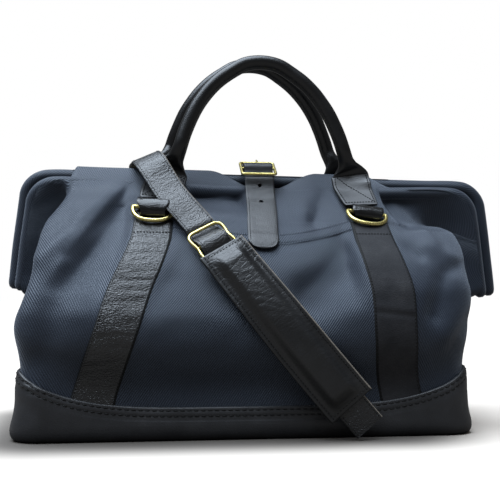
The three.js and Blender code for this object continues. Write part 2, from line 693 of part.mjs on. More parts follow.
// Leather chape that holds the buckle's middle bar, slotted for the prong
const BAR_CORNER = BUCKLE_BAR * Math.SQRT1_2;
const CHAPE_BORE = BAR_CORNER + 0.35;
const CHAPE_LEATHER = 1.5;
const CHAPE_TAIL = 38.5;
const CHAPE_TAIL_SHIFT = -1.9;
const CHAPE_WIDTH = 28;
const PRONG_SLOT = 6;
const chapeFrame = {
  origin: buckle.origin,
  x: vec(1, 0, 0),
  y: vec(0, 23, 35).normalize(),
  z: vec(0, -35, 23).normalize(),
};
const slot = new THREE.BoxGeometry(PRONG_SLOT, 16, 16);
const chape = barLoop(CHAPE_BORE, CHAPE_LEATHER, CHAPE_TAIL, CHAPE_TAIL_SHIFT, CHAPE_WIDTH);
add('buckle_chape', cutAway(chape, [slot]), BLACK_LEATHER, chapeFrame);

// Prong: a turn round the middle bar, then straight out to lie on the far bar
const PRONG_TURN = BAR_CORNER + 0.2 + PRONG_WIRE;
const FAR_BAR = (BUCKLE_LENGTH - BUCKLE_BAR) / 2;
function prongPath() {
  const path = [];
  for (let degrees = -150; degrees <= 90; degrees += 30) {
    const angle = degToRad(-degrees + 180);
    path.push(atBuckle(PRONG_TURN * Math.cos(angle), PRONG_TURN * Math.sin(angle)));
  }
  const rest = BUCKLE_BAR / 2 + 0.3 + PRONG_WIRE;
  path.push(atBuckle(FAR_BAR * 0.55, rest + 0.3), atBuckle(FAR_BAR, rest), atBuckle(FAR_BAR + 3, rest - 0.3));
  return path;
}
add('buckle_prong', planarBar(prongPath(), vec(1, 0, 0), PRONG_WIRE, 6), BRASS);

// Tongue of the closure: sewn on the back wall, over the mouth, woven through the buckle, down the front
const TONGUE_OVER = CHAPE_BORE + CHAPE_LEATHER + GAP + LEATHER / 2;
const TONGUE_UNDER = BUCKLE_BAR / 2 + 2 * GAP + LEATHER / 2;
const TONGUE_OVER_HEM = 2.4; // extra height where the tip lies over the pocket's hem
// The tongue's way through the buckle. along is 1 at the far bar, out is 1 over the middle bar and -1 under
// the others, and lean is the way the leather faces, in degrees from straight up.
const BUCKLE_WEAVE = table(
  ['along', 'out', 'lean'],
  [
    [1.15, -1, 20],
    [0.85, -1, 15],
    [0.52, 0, 10],
    [0.22, 0.86, 0],
    [0, 1, -30],
    [-0.22, 0.86, -60],
    [-0.52, 0, -70],
    [-0.85, -1, -70],
    [-1.15, -1, -65],
  ],
);
function tongueStations() {
  const lying = LAY + LEATHER / 2;
  const backSeats = [226, 240, 254, 267].map((z) => seat(BACK, CLOSURE_X, z, lying));
  const frontSeats = [255, 246, 236, 226, 216, 207, TONGUE_TIP].map((z) =>
    seat(FRONT, CLOSURE_X, z, lying + TONGUE_OVER_HEM * (1 - smoothstep(z, 206, 224))));
  const weave = BUCKLE_WEAVE.map(({ along, out, lean }) => ({
    point: atBuckle(along * FAR_BAR, out < 0 ? out * TONGUE_UNDER : out * TONGUE_OVER),
    normal: vec(0, Math.sin(degToRad(lean)), Math.cos(degToRad(lean))),
  }));
  const over = [
    { point: vec(CLOSURE_X, 22.5, 282), normal: vec(0, 0.9, 0.45) },
    { point: vec(CLOSURE_X, 16, 290.5), normal: vec(0, 0.75, 0.65) },
    ...weave,
    { point: vec(CLOSURE_X, -26.5, 270.5), normal: vec(0, -0.9, 0.4) },
  ];
  return [...backSeats, ...over, ...frontSeats].map(({ point, normal }) => ({
    point: vec(CLOSURE_X, point.y, point.z),
    normal: normal.setX(0).normalize(),
  }));
}

// A round tool through a strip at one of its stations
function punch(point, normal, radius, length) {
  const tool = new THREE.CylinderGeometry(radius, radius, length, 10);
  const turn = new THREE.Quaternion().setFromUnitVectors(vec(0, 1, 0), normal.clone().normalize());
  return tool.applyQuaternion(turn).translate(point.x, point.y, point.z);
}

const TONGUE_HOLE = 2.4; // radius
const TONGUE_HOLES = [252, 232];
const TONGUE_TIP = 201.5;
function closureTongue() {
  const body = strip(tongueStations(), TONGUE_WIDTH, LEATHER);
  const holes = TONGUE_HOLES.map((z) => {
    const { point, normal } = seat(FRONT, CLOSURE_X, z);
    return punch(point, normal, TONGUE_HOLE, 14);
  });
  holes.push(punch(atBuckle(FAR_BAR * 0.36, PRONG_TURN), buckle.y, PRONG_WIRE + 0.7, 10));
  const tip = seat(FRONT, CLOSURE_X, TONGUE_TIP);
  const corner = TONGUE_WIDTH / 2;
  const rounding = [LEFT, RIGHT].map((end) => {
    const cutter = new THREE.Shape();
    cutter.moveTo(end * corner * 1.1, -8);
    cutter.lineTo(end * corner * 1.1, corner * 0.75);
    cutter.lineTo(end * corner, corner * 0.75);
    cutter.quadraticCurveTo(end * corner, 0, end * corner * 0.25, 0);
    cutter.lineTo(end * corner * 0.25, -8);
    cutter.closePath();
    const tool = plate(cutter, 30, 5);
    const y = vec(1, 0, 0).cross(tip.normal).negate().normalize();
    const basis = new THREE.Matrix4().makeBasis(vec(1, 0, 0), y, tip.normal);
    return tool.applyMatrix4(basis).translate(tip.point.x, tip.point.y, tip.point.z);
  });
  return cutAway(body, [...holes, ...rounding]);
}
add('closure_strap', closureTongue(), BLACK_LEATHER);

// Shoulder strap: looped round the bow of the back left ring, laid over the mouth and across the front
const RING_TURN = RING_WIRE + 2.5 * GAP + SHOULDER_LEATHER / 2;
const RING_END_WIDTH = 15; // the strap narrows to this where it turns round the ring's bow
function ringTurn() {
  const ring = ringFrames.back_left;
  const bow = ring.origin.clone().addScaledVector(ring.y, RING_DROP);
  const up = ring.y;
  const out = ring.z.y > 0 ? ring.z : ring.z.clone().negate();
  const inside = bow.clone().addScaledVector(out, -RING_TURN).addScaledVector(up, 12);
  const stations = [{ point: inside, normal: out.clone().negate(), width: RING_END_WIDTH }];
  for (let degrees = 180; degrees <= 360; degrees += 36) {
    const angle = degToRad(degrees);
    const normal = out.clone().multiplyScalar(Math.cos(angle)).addScaledVector(up, Math.sin(angle));
    stations.push({ point: bow.clone().addScaledVector(normal, RING_TURN), normal, width: RING_END_WIDTH });
  }
  const clear = bow.clone().addScaledVector(out, RING_TURN + 0.5).addScaledVector(up, 7);
  stations.push({ point: clear, normal: out, width: RING_END_WIDTH });
  return stations;
}

const SHOULDER_STEP = 13;
const SLIDE_STEP = 3.2;
const SLIDE_REACH = 30;
const route = new THREE.CatmullRomCurve3(SHOULDER_ROWS.map(({ x, y, z }) => vec(x, y, z)));
route.arcLengthDivisions = 2000;
const faces = SHOULDER_ROWS.map(({ faceX, faceY, faceZ }) => vec(faceX, faceY, faceZ));
const facing = new THREE.CatmullRomCurve3(faces);
const routeLength = route.getLength();
const slideAt = new THREE.CatmullRomCurve3(route.points.slice(0, SLIDE_ROW + 1)).getLength();

function shoulderStation(distance, lift = 0) {
  const share = Math.min(distance / routeLength, 1);
  const t = route.getUtoTmapping(share);
  const tangent = route.getTangent(t);
  const normal = facing.getPoint(t).normalize();
  normal.addScaledVector(tangent, -normal.dot(tangent)).normalize();
  return { point: route.getPoint(t).addScaledVector(normal, lift), normal, tangent };
}

function shoulderStations() {
  const stations = [];
  let distance = 0;
  while (distance < routeLength) {
    const offset = distance - slideAt;
    const near = Math.abs(offset) < SLIDE_REACH + SHOULDER_STEP;
    const fade = 1 - smoothstep(Math.abs(offset), SLIDE_PITCH + 2, SLIDE_REACH);
    stations.push(shoulderStation(distance, SLIDE_WEAVE * fade * Math.cos((Math.PI * offset) / SLIDE_PITCH)));
    distance += near ? SLIDE_STEP : SHOULDER_STEP;
  }
  stations.push(shoulderStation(routeLength));
  return stations;
}
const shoulder = strip([...ringTurn(), ...shoulderStations()], SHOULDER_WIDTH, SHOULDER_LEATHER);
add('shoulder_strap', shoulder, BLACK_LEATHER);

// Two-loop slide: an outline with a waist at its middle bar
const SLIDE_OUTLINE = [[15, 21.5], [20, 19.5], [22.4, 15], [22.4, 8], [20.6, 3.5]];
const SLIDE_HOLE = [[16, 17.4], [18.7, 14.5], [18.7, 4], [17.8, 2]];
function slidePlate() {
  const mirrored = SLIDE_OUTLINE.map(([x, y]) => [x, -y]).reverse();
  const right = [...SLIDE_OUTLINE, ...mirrored];
  const left = right.map(([x, y]) => [-x, y]).reverse();
  const shape = new THREE.Shape([...right, ...left].reverse().map(([x, y]) => new THREE.Vector2(x, y)));
  for (const end of [1, -1]) {
    const half = SLIDE_HOLE.map(([x, y]) => new THREE.Vector2(x, y * end));
    const other = SLIDE_HOLE.map(([x, y]) => new THREE.Vector2(-x, y * end)).reverse();
    shape.holes.push(new THREE.Path([...half, ...other]));
  }
  return plate(shape, SLIDE_PLATE, 1);
}
const slideSeat = shoulderStation(slideAt);
const slideAcross = slideSeat.tangent.clone().cross(slideSeat.normal).normalize();
add('strap_slide', slidePlate(), BRASS, {
  origin: slideSeat.point,
  x: slideAcross,
  y: slideSeat.normal.clone().cross(slideAcross),
  z: slideSeat.normal,
});

// Shoulder pad: flat sewn borders and a raised middle, on top of the strap
const PAD_ACROSS = table(
  ['place', 'height'],
  [[-1, 2.6], [-0.8, 2.6], [-0.66, 7], [0, 10], [0.66, 7], [0.8, 2.6], [1, 2.6]],
);
const PAD = { start: 13, tail: 29, rows: 17, border: 2.6, endTaper: 9, seat: 1.75, slideSeat: 3.3 };
function shoulderPad() {
  const from = slideAt + PAD.start;
  const length = routeLength - PAD.tail - from;
  const rows = Array.from({ length: PAD.rows + 1 }, (_, r) => {
    const inside = r > 0 && r < PAD.rows;
    const even = (r / PAD.rows) * length;
    const along = inside ? clamp(even, PAD.endTaper, length - PAD.endTaper) : even;
    const under = lerp(PAD.slideSeat, PAD.seat, smoothstep(along, 8, 30));
    const { point, normal, tangent } = shoulderStation(from + along, under);
    const across = tangent.clone().cross(normal).normalize();
    return PAD_ACROSS.map(({ place, height }) => {
      const low = point.clone().addScaledVector(across, place * PAD_HALF);
      return { low, high: low.clone().addScaledVector(normal, inside ? height : PAD.border) };
    });
  });
  const layer = (name) => rows.map((row) => row.map((station) => station[name]));
  return sheet(layer('high'), layer('low'));
}
add('shoulder_pad', shoulderPad(), BLACK_LEATHER);

export default bag;
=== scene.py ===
"""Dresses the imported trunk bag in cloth, leather, thread and brass, and sets its camera and light.

Sizes are millimetres in the part's own frame (X along the bag, -Y its front, +Z up) until a mesh is made.
"""
import math
from collections import namedtuple

import bmesh
import bpy
import numpy as np
from mathutils import Matrix, Vector
from mathutils.bvhtree import BVHTree


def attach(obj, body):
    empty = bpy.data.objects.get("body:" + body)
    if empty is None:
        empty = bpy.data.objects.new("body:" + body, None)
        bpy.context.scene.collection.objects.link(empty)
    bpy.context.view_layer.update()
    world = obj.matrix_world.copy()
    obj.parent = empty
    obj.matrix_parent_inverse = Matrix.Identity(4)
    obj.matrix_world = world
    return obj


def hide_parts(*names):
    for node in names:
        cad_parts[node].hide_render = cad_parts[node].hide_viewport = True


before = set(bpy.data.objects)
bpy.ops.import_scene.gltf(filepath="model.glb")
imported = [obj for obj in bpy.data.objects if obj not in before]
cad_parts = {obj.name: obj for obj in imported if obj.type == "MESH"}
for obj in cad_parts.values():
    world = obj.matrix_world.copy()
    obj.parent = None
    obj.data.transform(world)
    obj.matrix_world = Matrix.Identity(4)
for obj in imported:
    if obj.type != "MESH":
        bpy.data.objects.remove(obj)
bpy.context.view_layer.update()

MM = 0.001
FRONT, BACK = -1, 1
LEFT, RIGHT = -1, 1

# Camera, measured from the photograph
CAMERA_PLACE = (-112.7, -1032.2, 156)
CAMERA_YAW = 7.0
CAMERA_PITCH = 2.37
CAMERA_LENS = 64.44

# Light
FLOOR_REACH = 9  # metres
SOFT_ANGLE, SOFT_STRENGTH, SOFT_WAY, SOFT_COLOUR = 60, 6.4, (0.26, 0.04, -1), (0.76, 0.87, 1.0)
ROOM_LIGHT, FLOOR_RETURN = 0.13, 0.22
# A shadow painted on the floor round the bag: the middle and half size of the box it gathers round, how far
# it reaches, and its darkest share
SHADE_MIDDLE, SHADE_HALF, SHADE_REACH, SHADE_DEPTH = (-0.03, -0.01, 0), (0.18, 0.09, 0), 0.135, 0.16

# Sheets and seams
LAY = 0.3  # clear space under leather that is sewn on the canvas
CANVAS, ROLLED_CANVAS = 1.8, 0.6
LEATHER = 2.0
STRAP_SEAM, EDGE_SEAM, TAB_SEAM = 2.2, 2.6, 3.4  # how far stitches run from the edge
STRAP_REACH, STRAP_CROSSING_Z, STRAP_CREASE_Z = 22.5, 213, 128  # half a strap's width, and two heights on it
WALE_TURN, WALE_PITCH = 32, 0.0022  # ribs of the twill, in degrees and metres

# Leather base, with its turned and twice stitched upper edge
BASE_LENGTH, BASE_DEPTH, BASE_CORNER = 478, 238, 30
BASE_LOW, BASE_RISE, BASE_RISE_POWER = 34, 38, 4.5
BASE_TURN, BASE_SIDE = 14, 16  # depth of the turned edge, and the height where the foot's curve ends
BASE_FLARE = 5  # how far the foot spreads at the ends
BASE_TUCK = 5.1  # how far inside the base's outline the canvas goes down into it

# Mouth frame and its lean along X
RIM_ROLL = 7.3  # radius of a frame bar with the cloth round it
RIM_RADIUS, RIM_Y, RIM_CORNER, RIM_SAG = 5.5, 9, 28, 7
RIM_TOP, RIM_LEG_TOP, RIM_LEG_FOOT, RIM_FOOT_Z = 270, 254, 265, 148
RIM_STEP_OUT, RIM_STEP_UP, BACK_RAISE = 15, 10, 7
MOUTH_GAP_X, MOUTH_GAP = 30, (8, 64)  # where the shut mouth gapes under the buckle
SHUT_LEFT, SHUT_RIGHT = (-193, -184), (148, 184)  # where the front's cloth ends on the back bar
COVER_LEFT, COVER_RIGHT = (-200, -188), (178, 205)  # where a wall's cloth ends on its own bar
LIP_ROWS, EASED_ROWS, EASE_ROUNDS = 11, 34, 60  # rows over the bar, and how the bend below it is eased
LEAN, FALL, LEAN_FROM, LEAN_TO = 20, 0.015, 35, 230
EAR_OUT = {FRONT: (0, 4), BACK: (-6, 6)}  # how much further out the left and right end of each bar reaches
PANEL_FULL = 9  # how much fuller the front is at its right end
WALL_Y = RIM_Y + RIM_RADIUS + ROLLED_CANVAS + CANVAS

# Pocket
POCKET_BOTTOM, POCKET_HEM, POCKET_SAG, POCKET_STRAP_HALF = 28, 229, 18, 22
POCKET_CLOTH, POCKET_LAY = 1.2, 0.4
POCKET_SEAMS = (2.4, 10.2)  # under the hem

# Handles and rings
TAB_LEATHER, TAB_LENGTH = 2.6, 50
HANDLE_BORE, HANDLE_SIDES = 16, 36  # across the grip, and the sides of its section
HANDLE_SWAY = {FRONT: 6, BACK: -3}
RING_WIRE, RING_HALF, RING_DROP = 2.3, 21.7, 23.5
LOOP_WIDTH, LOOP_LEATHER = 35, 1.9

# Closure
TONGUE_WIDTH, BUCKLE_WIDTH, BUCKLE_LENGTH, BUCKLE_WIRE = 33, 42, 35, 1.7
CLOSURE_X = LEAN + 2
PRONG_WIRE, PRONG_TURN, FAR_BAR = 1.15, 3.46, 15.9
TONGUE_OVER, TONGUE_UNDER = 5.5, 3.4
TONGUE_TIP, TONGUE_ROUND, TONGUE_SEWN = 194, 13, 84  # height of the tip, and lengths from it
TONGUE_HOLE_Z, TONGUE_HOLE, TONGUE_LEAN = 249.5, 2.3, 4.5
CHAPE_WIDTH, CHAPE_LEATHER, CHAPE_TURN, PRONG_SLOT = 28, 1.3, 3.36, 6

# Shoulder strap
SHOULDER_WIDTH, SHOULDER_LEATHER, RING_TURN, RING_END_WIDTH = 34, 2.4, 4.5, 15
SLIDE_WIRE, SLIDE_WAIST, SLIDE_PITCH = 1.9, 19.2, 19
SLIDE_WEAVE, SLIDE_REACH, SLIDE_ROW = 4.1, 30, 10
PAD_HALF, PAD_START, PAD_TAIL, PAD_BORDER = 27, 13, 29, 6.5
PAD_LEATHER, PAD_RISE, PAD_CROWN = 2.6, 4.4, 3.4
PAD_OVER_SLIDE, PAD_OVER_STRAP = 3.3, 1.75


def table(columns, rows):
    """Rows of named values."""
    kind = namedtuple("Row", columns)
    return [kind(*row) for row in rows]


# Levels of a canvas wall, from the mouth frame down into the base, with depths from the bag's middle plane
WALL_ROWS = table(
    "mid_z mid_y z fold_left fold_right fold_y tuck_x tuck_y edge_x edge_y edge_z rim",
    [
        (265, WALL_Y, 272, 184, 181, WALL_Y, 226, WALL_Y, 246, WALL_Y, 262, 1),
        (256, 32, 261, 187, 183, 24, 219, 13, 254, WALL_Y, 242, 1),
        (242, 48, 245, 198, 190, 36, 212, 9, 256, WALL_Y, 226, 1),
        (230, 60.5, 231.5, 208, 194, 47, 209, 8, 257.4, WALL_Y, 213, 1),
        (224, 66, 226, 212, 231, 52, 208, 8, 258, WALL_Y, 208, 1),
        (204, 85, 205, 219, 240, 70, 208, 9, 260, WALL_Y, 190, 1),
        (180, 102, 180, 221, 238, 86, 211, 14, 262.6, WALL_Y, 170, 1),
        (156, 113, 156, 225, 234, 98, 217, 24, 263, WALL_Y, 152, 1),
        (140, 120.5, 140, 230, 232, 104, 228, 41, 246, 6, 138, 0.5),
        (122, 126.5, 122, 234, 233, 108.5, 236, 46, 238, 0.5, 122, 0),
        (98, 127, 98, 234, 233, 109.5, 236, 48, 237, 0.5, 98, 0),
        (74, 120, 74, 228, 228, 103, 231, 46, 232, 0.5, 74, 0),
        (48, 110.5, 48, 225, 225, 97, 230, 45, 231.5, 0.5, 48, 0),
        (30, 108, 30, 224, 224, 96, 229.5, 44, 231.5, 0.5, 30, 0),
        (8, 107.5, 8, 223, 223, 95, 229, 44, 231, 0.5, 8, 0),
    ],
)

# Valleys pressed into each wall, and ridges where the depth is negative: a line, its half width and its depth
FOLD_COLUMNS = "from_x from_z to_x to_z width depth"
FOLDS = {
    FRONT: table(FOLD_COLUMNS, [
        (98, 262, 80, 228, 9, 7),
        (112, 184, 62, 142, 24, 14),
        (236, 182, 212, 172, 8, 3),
        (204, 160, 192, 128, 11, 5),
        (-196, 150, -206, 92, 18, 5),
    ]),
    BACK: table(FOLD_COLUMNS, [
        (-60, 262, -30, 250, 22, 6),
        (70, 262, 100, 246, 20, 6),
        (180, 240, 205, 150, 18, 6),
        (-165, 230, -200, 150, 18, 6),
        (-20, 190, 30, 140, 22, 4),
    ]),
}
# The dent under the front of the mouth, left of the closure
DENTS = table(FOLD_COLUMNS, [(-50, 255, 0, 251, 11, 17)])
# Places where the cloth laps over itself: the line of the fold, how deep the hollow on one side of it is,
# how far it takes to drop and then to end, and the height of the ledge that ends it
LAP_COLUMNS = "from_x from_z to_x to_z depth drop reach ledge"
LAPS = {
    FRONT: table(LAP_COLUMNS, [
        (-122, 278, -196, 170, 15, 22, 68, 0),
        (150, 276, 206, 178, 19, 11, 95, 222),
    ]),
    BACK: table(LAP_COLUMNS, [
        (206, 178, 150, 280, 9, 11, 46, 0),
        (-150, 280, -200, 180, 9, 11, 60, 216),
    ]),
}
# Smaller folds that only the cloth itself has
CREASES = {
    FRONT: table(FOLD_COLUMNS, [
        (-128, 258, -186, 190, 7, 2.4),
        (-148, 262, -216, 186, 8, -2.2),
        (-190, 222, -214, 204, 9, 1.8),
        (-54, 262, -28, 244, 8, 2.4),
        (-6, 262, -2, 240, 7, 1.6),
        (70, 240, 96, 214, 8, -1.4),
        (104, 182, 60, 140, 9, -1.6),
        (166, 262, 178, 222, 8, 2.2),
        (182, 250, 208, 206, 8, -2.4),
        (196, 200, 234, 186, 8, -2.0),
        (240, 150, 206, 106, 13, -3.5),
        (234, 120, 216, 96, 10, 2.0),
        (162, 206, 186, 190, 7, 2.5),
        (-60, 198, -92, 150, 10, 1.2),
    ]),
    BACK: table(FOLD_COLUMNS, [
        (-80, 258, -50, 236, 8, 2.0),
        (60, 262, 86, 236, 8, 1.8),
        (170, 232, 206, 180, 8, 2.0),
        (-170, 214, -206, 176, 8, 2.0),
        (20, 200, -24, 150, 9, 1.6),
    ]),
}

STRAP_ROWS = table("z half width", [
    (26, 161, 46), (41, 159, 46), (75, 151, 46), (113, 143, 46),
    (153, 136, 46), (180, 128, 45), (206, 121, 43), (226.5, 119, 41),
])

# One half of a handle, from the foot of its tab to the top of its round bow, with the tab's lift off the wall
BOW_ROWS = [
    (94, 22.5, 316), (90, 21.5, 329), (84.5, 20, 343), (78, 18.5, 357), (70, 17, 370), (60.5, 16, 382.5),
    (49, 15, 394), (35.5, 14, 404), (19, 13.3, 413.5), (0, 13, 416.5),
]
HANDLE_ROWS = table("half y z width thick lift", [
    (114.5, 0, 245.5, 40, TAB_LEATHER, 6.1),
    (112.5, 0, 254, 42.5, TAB_LEATHER, 5.7),
    (110, 0, 264, 44, TAB_LEATHER, 5.2),
    (107, 20.5, 277, 45, 2.8, 0),
    (105, 14.5, 287, 44, 3.4, 0),
    (102.8, 14.5, 293.5, 34, 6.5, 0),
    (100.2, 17, 299.5, 22, 12, 0),
    (97.5, 19.5, 306, 17, 15.5, 0),
    *((*row, HANDLE_BORE, HANDLE_BORE, 0) for row in BOW_ROWS),
])

# Each D-ring: the middle of its bar, the bar's direction, the way to its bow, the degrees that the bow stands
# off its loop, and how much fuller the loop is
RINGS = table("name side end body place bar bow stand puff", [
    ("front_left", FRONT, LEFT, "bag",
     (-98.97, -57.67, 242.28), (-0.99894, 0.02748, 0.03687), (-0.045, -0.765, -0.643), 5, 1.42),
    ("front_right", FRONT, RIGHT, "front_ring",
     (139.33, -53.37, 238.88), (-0.99123, 0.04067, 0.12574), (-0.104, -0.827, -0.552), 8, 1.0),
    ("back_left", BACK, LEFT, "bag",
     (-99.02, 57.40, 248.99), (0.99993, 0.01055, -0.00602), (0.004, 0.167, 0.986), 130, 1.0),
    ("back_right", BACK, RIGHT, "back_ring",
     (139.33, 52.92, 245.52), (0.99775, -0.04171, -0.05247), (-0.004, 0.743, -0.670), 6, 1.0),
])
# A ring loop from the end of its lower layer, round the bar and back, along and off the wall
LOOP_PATH = [
    (-14, -3.9), (-4, -3.9), (5, -3.6), (10, -1.4), (11.6, 2.2), (10, 5.6), (6, 7.7), (0.5, 8.0), (-5, 5.8),
    (-9, 1.8), (-14, -1.7),
]

# Shoulder strap from the back of the mouth to its free end: its middle line, and the way its face looks
SHOULDER_ROWS = np.array([
    (-103, 52, 281, 0, 0.85, 0.5),
    (-106, 42, 292, -0.15, 0.75, 0.6),
    (-110, 28, 301, -0.3, 0.4, 0.85),
    (-108, 4, 305, -0.4, 0, 0.9),
    (-106, -17, 303, -0.35, -0.35, 0.85),
    (-100, -36, 293.5, -0.15, -0.8, 0.55),
    (-90, -47, 276, 0, -0.85, 0.5),
    (-82, -56, 262, 0, -0.82, 0.55),
    (-70, -68, 246, 0, -0.8, 0.6),
    (-56, -79, 229, 0, -0.82, 0.57),
    (-37, -99.5, 204, 0, -0.83, 0.55),
    (-20, -112.5, 183, 0, -0.88, 0.47),
    (11, -127, 144, 0, -0.95, 0.3),
    (49, -135, 97, 0, -1, 0.05),
    (88.5, -136.5, 50, 0, -1, 0),
    (120, -138, 13.5, 0, -1, 0),
])

# Middle line of the slide's wire in one quarter, from its end bar to its waist
SLIDE_QUARTER = [(0, 19.6), (10, 19.6), (15.2, 19.4), (18.6, 17.6), (20.5, 14.4), (20.6, 8), (19.6, 3.2)]

# The tongue's way through the buckle: along it, over or under its bars, and the leather's lean in degrees
BUCKLE_WEAVE = [
    (1.15, -1, 20), (0.85, -1, 15), (0.52, 0, 10), (0.22, 0.86, 0), (0, 1, -30), (-0.22, 0.86, -60),
    (-0.52, 0, -70), (-0.85, -1, -70), (-1.15, -1, -65),
]


# Curves, noise and grids

def vec(*values):
    return np.array(values, float)


def ramp(x, low, high):
    """0 below low, 1 above high, and a smooth rise between."""
    t = np.clip((np.asarray(x, float) - low) / (high - low), 0, 1)
    return t * t * (3 - 2 * t)


def bell(x, width):
    return np.exp(-((np.asarray(x) / width) ** 2))


def unit(v):
    v = np.asarray(v, float)
    return v / np.maximum(np.linalg.norm(v, axis=-1, keepdims=True), 1e-9)


def catmull(points, t):
    """Points of a centripetal Catmull-Rom curve, or of a bundle of curves side by side, at the shares t."""
    p = np.asarray(points, float)
    held = np.concatenate([2 * p[:1] - p[1:2], p, 2 * p[-1:] - p[-2:-1]])
    place = np.clip(np.asarray(t, float), 0, 1) * (len(p) - 1)
    i = np.minimum(place.astype(int), len(p) - 2)
    w = (place - i).reshape((-1,) + (1,) * (p.ndim - 1))
    a, b, c, d = (held[i + k] for k in range(4))
    gap = [np.sum((v - u) ** 2, axis=-1, keepdims=True) ** 0.25 for u, v in ((a, b), (b, c), (c, d))]
    g1 = np.where(gap[1] < 1e-4, 1, gap[1])
    g0 = np.where(gap[0] < 1e-4, g1, gap[0])
    g2 = np.where(gap[2] < 1e-4, g1, gap[2])
    m1 = ((b - a) / g0 - (c - a) / (g0 + g1) + (c - b) / g1) * g1
    m2 = ((c - b) / g1 - (d - b) / (g1 + g2) + (d - c) / g2) * g1
    return b + w * m1 + w**2 * (3 * (c - b) - 2 * m1 - m2) + w**3 * (2 * (b - c) + m1 + m2)


def lengths(points):
    """Distance along a path at each of its points."""
    steps = np.linalg.norm(np.diff(points, axis=0), axis=1)
    return np.concatenate([[0], np.cumsum(steps)])


def sampled(along, values, wanted):
    """Values given along a path, at the wanted distances."""
    values = np.asarray(values, float).reshape(len(along), -1)
    return np.stack([np.interp(wanted, along, values[:, k]) for k in range(values.shape[1])], axis=1)


def even(points, count):
    """The same path at evenly spaced points."""
    points = np.asarray(points, float)
    along = lengths(points)
    return sampled(along, points, np.linspace(0, along[-1], count))


def even_loop(points, count):
    """A closed path at evenly spaced points."""
    return even(np.concatenate([points, points[:1]]), count + 1)[:-1]


def noise(u, v, seed):
    """Smooth noise, about -1 to 1, at each place (u, v)."""
    rng = np.random.default_rng(seed)
    order = rng.permutation(256)
    angle = rng.random(256) * 2 * np.pi
    u, v = np.broadcast_arrays(np.asarray(u, float), np.asarray(v, float))
    iu, iv = np.floor(u).astype(int), np.floor(v).astype(int)
    fu, fv = u - iu, v - iv

    def corner(du, dv):
        a = angle[order[(order[(iu + du) % 256] + iv + dv) % 256]]
        return np.cos(a) * (fu - du) + np.sin(a) * (fv - dv)

    su, sv = ramp(fu, 0, 1), ramp(fv, 0, 1)
    low = corner(0, 0) * (1 - su) + corner(1, 0) * su
    high = corner(0, 1) * (1 - su) + corner(1, 1) * su
    return 1.5 * (low * (1 - sv) + high * sv)


def edge_shares(count):
    """Places across a strip from -1 to 1, closer together at its edges."""
    s = np.linspace(-1, 1, count)
    return 0.45 * s + 0.55 * np.sin(s * np.pi / 2)


def round_end(distance, radius):
    """A quarter circle's rise from 0 at an end to 1 at the given distance from it."""
    return np.sqrt(1 - np.clip(1 - distance / radius, 0, 1) ** 2)


def edge_drop(distance, depth, radius):
    """How far a sheet's face rounds down near its edge."""
    return depth * (1 - round_end(distance, radius))


def grid_normals(grid, outside):
    normals = unit(np.cross(np.gradient(grid, axis=1), np.gradient(grid, axis=0)))
    middle = normals[len(grid) // 2, grid.shape[1] // 2]
    return normals if middle @ np.asarray(outside, float) > 0 else -normals


def grid_quads(index):
    return np.stack([index[:-1, :-1], index[:-1, 1:], index[1:, 1:], index[1:, :-1]], axis=-1).reshape(-1, 4)


def grid_uv(grid):
    """Metres of cloth along the rows from their middle, and down the columns."""
    across = np.linalg.norm(np.diff(grid, axis=1), axis=2)
    u = np.concatenate([np.zeros((len(grid), 1)), np.cumsum(across, axis=1)], axis=1)
    u -= u[:, grid.shape[1] // 2][:, None]
    down = np.linalg.norm(np.diff(grid, axis=0), axis=2)
    v = np.concatenate([np.zeros((1, grid.shape[1])), np.cumsum(down, axis=0)], axis=0)
    return np.stack([u, v], axis=-1) * MM


# Shapes: points, faces, a UV for each corner of a face, and the number of each face's material

def sheet(outer, inner, raw=(), worn=(0, 0), flat=None):
    """A sheet between two grids of points, closed round its border.

    raw names the sides with a bare cut edge; they and the worn columns at each side of the face take the
    second material, partly painted shade along a dark edge and a painted highlight along a pale one.
    The weave runs as it would on the flat grid.
    """
    rows, columns = outer.shape[:2]
    index = np.arange(2 * rows * columns).reshape(2, rows, columns)

    def border(a):
        return np.concatenate([a[0, :-1], a[:-1, -1], a[-1, :0:-1], a[:0:-1, 0]])

    o, i = border(index[0]), border(index[1])
    faces = np.concatenate([
        grid_quads(index[0]),
        grid_quads(index[1])[:, ::-1],
        np.stack([np.roll(o, -1), o, i, np.roll(i, -1)], axis=-1),
    ])
    sides = np.repeat(["start", "right", "end", "left"], [columns - 1, rows - 1, columns - 1, rows - 1])
    face = np.zeros((rows - 1, columns - 1), int)
    face[:, :worn[0]] = 1
    face[:, columns - 1 - worn[1]:] = 1
    paint = np.concatenate([face.ravel(), np.zeros(face.size, int), np.isin(sides, raw).astype(int)])
    uv = np.tile(grid_uv(outer if flat is None else flat).reshape(-1, 2), (2, 1))[faces].reshape(-1, 2)
    points = np.concatenate([outer.reshape(-1, 3), inner.reshape(-1, 3)])
    return {"points": points, "faces": faces.tolist(), "uv": uv, "paint": paint}


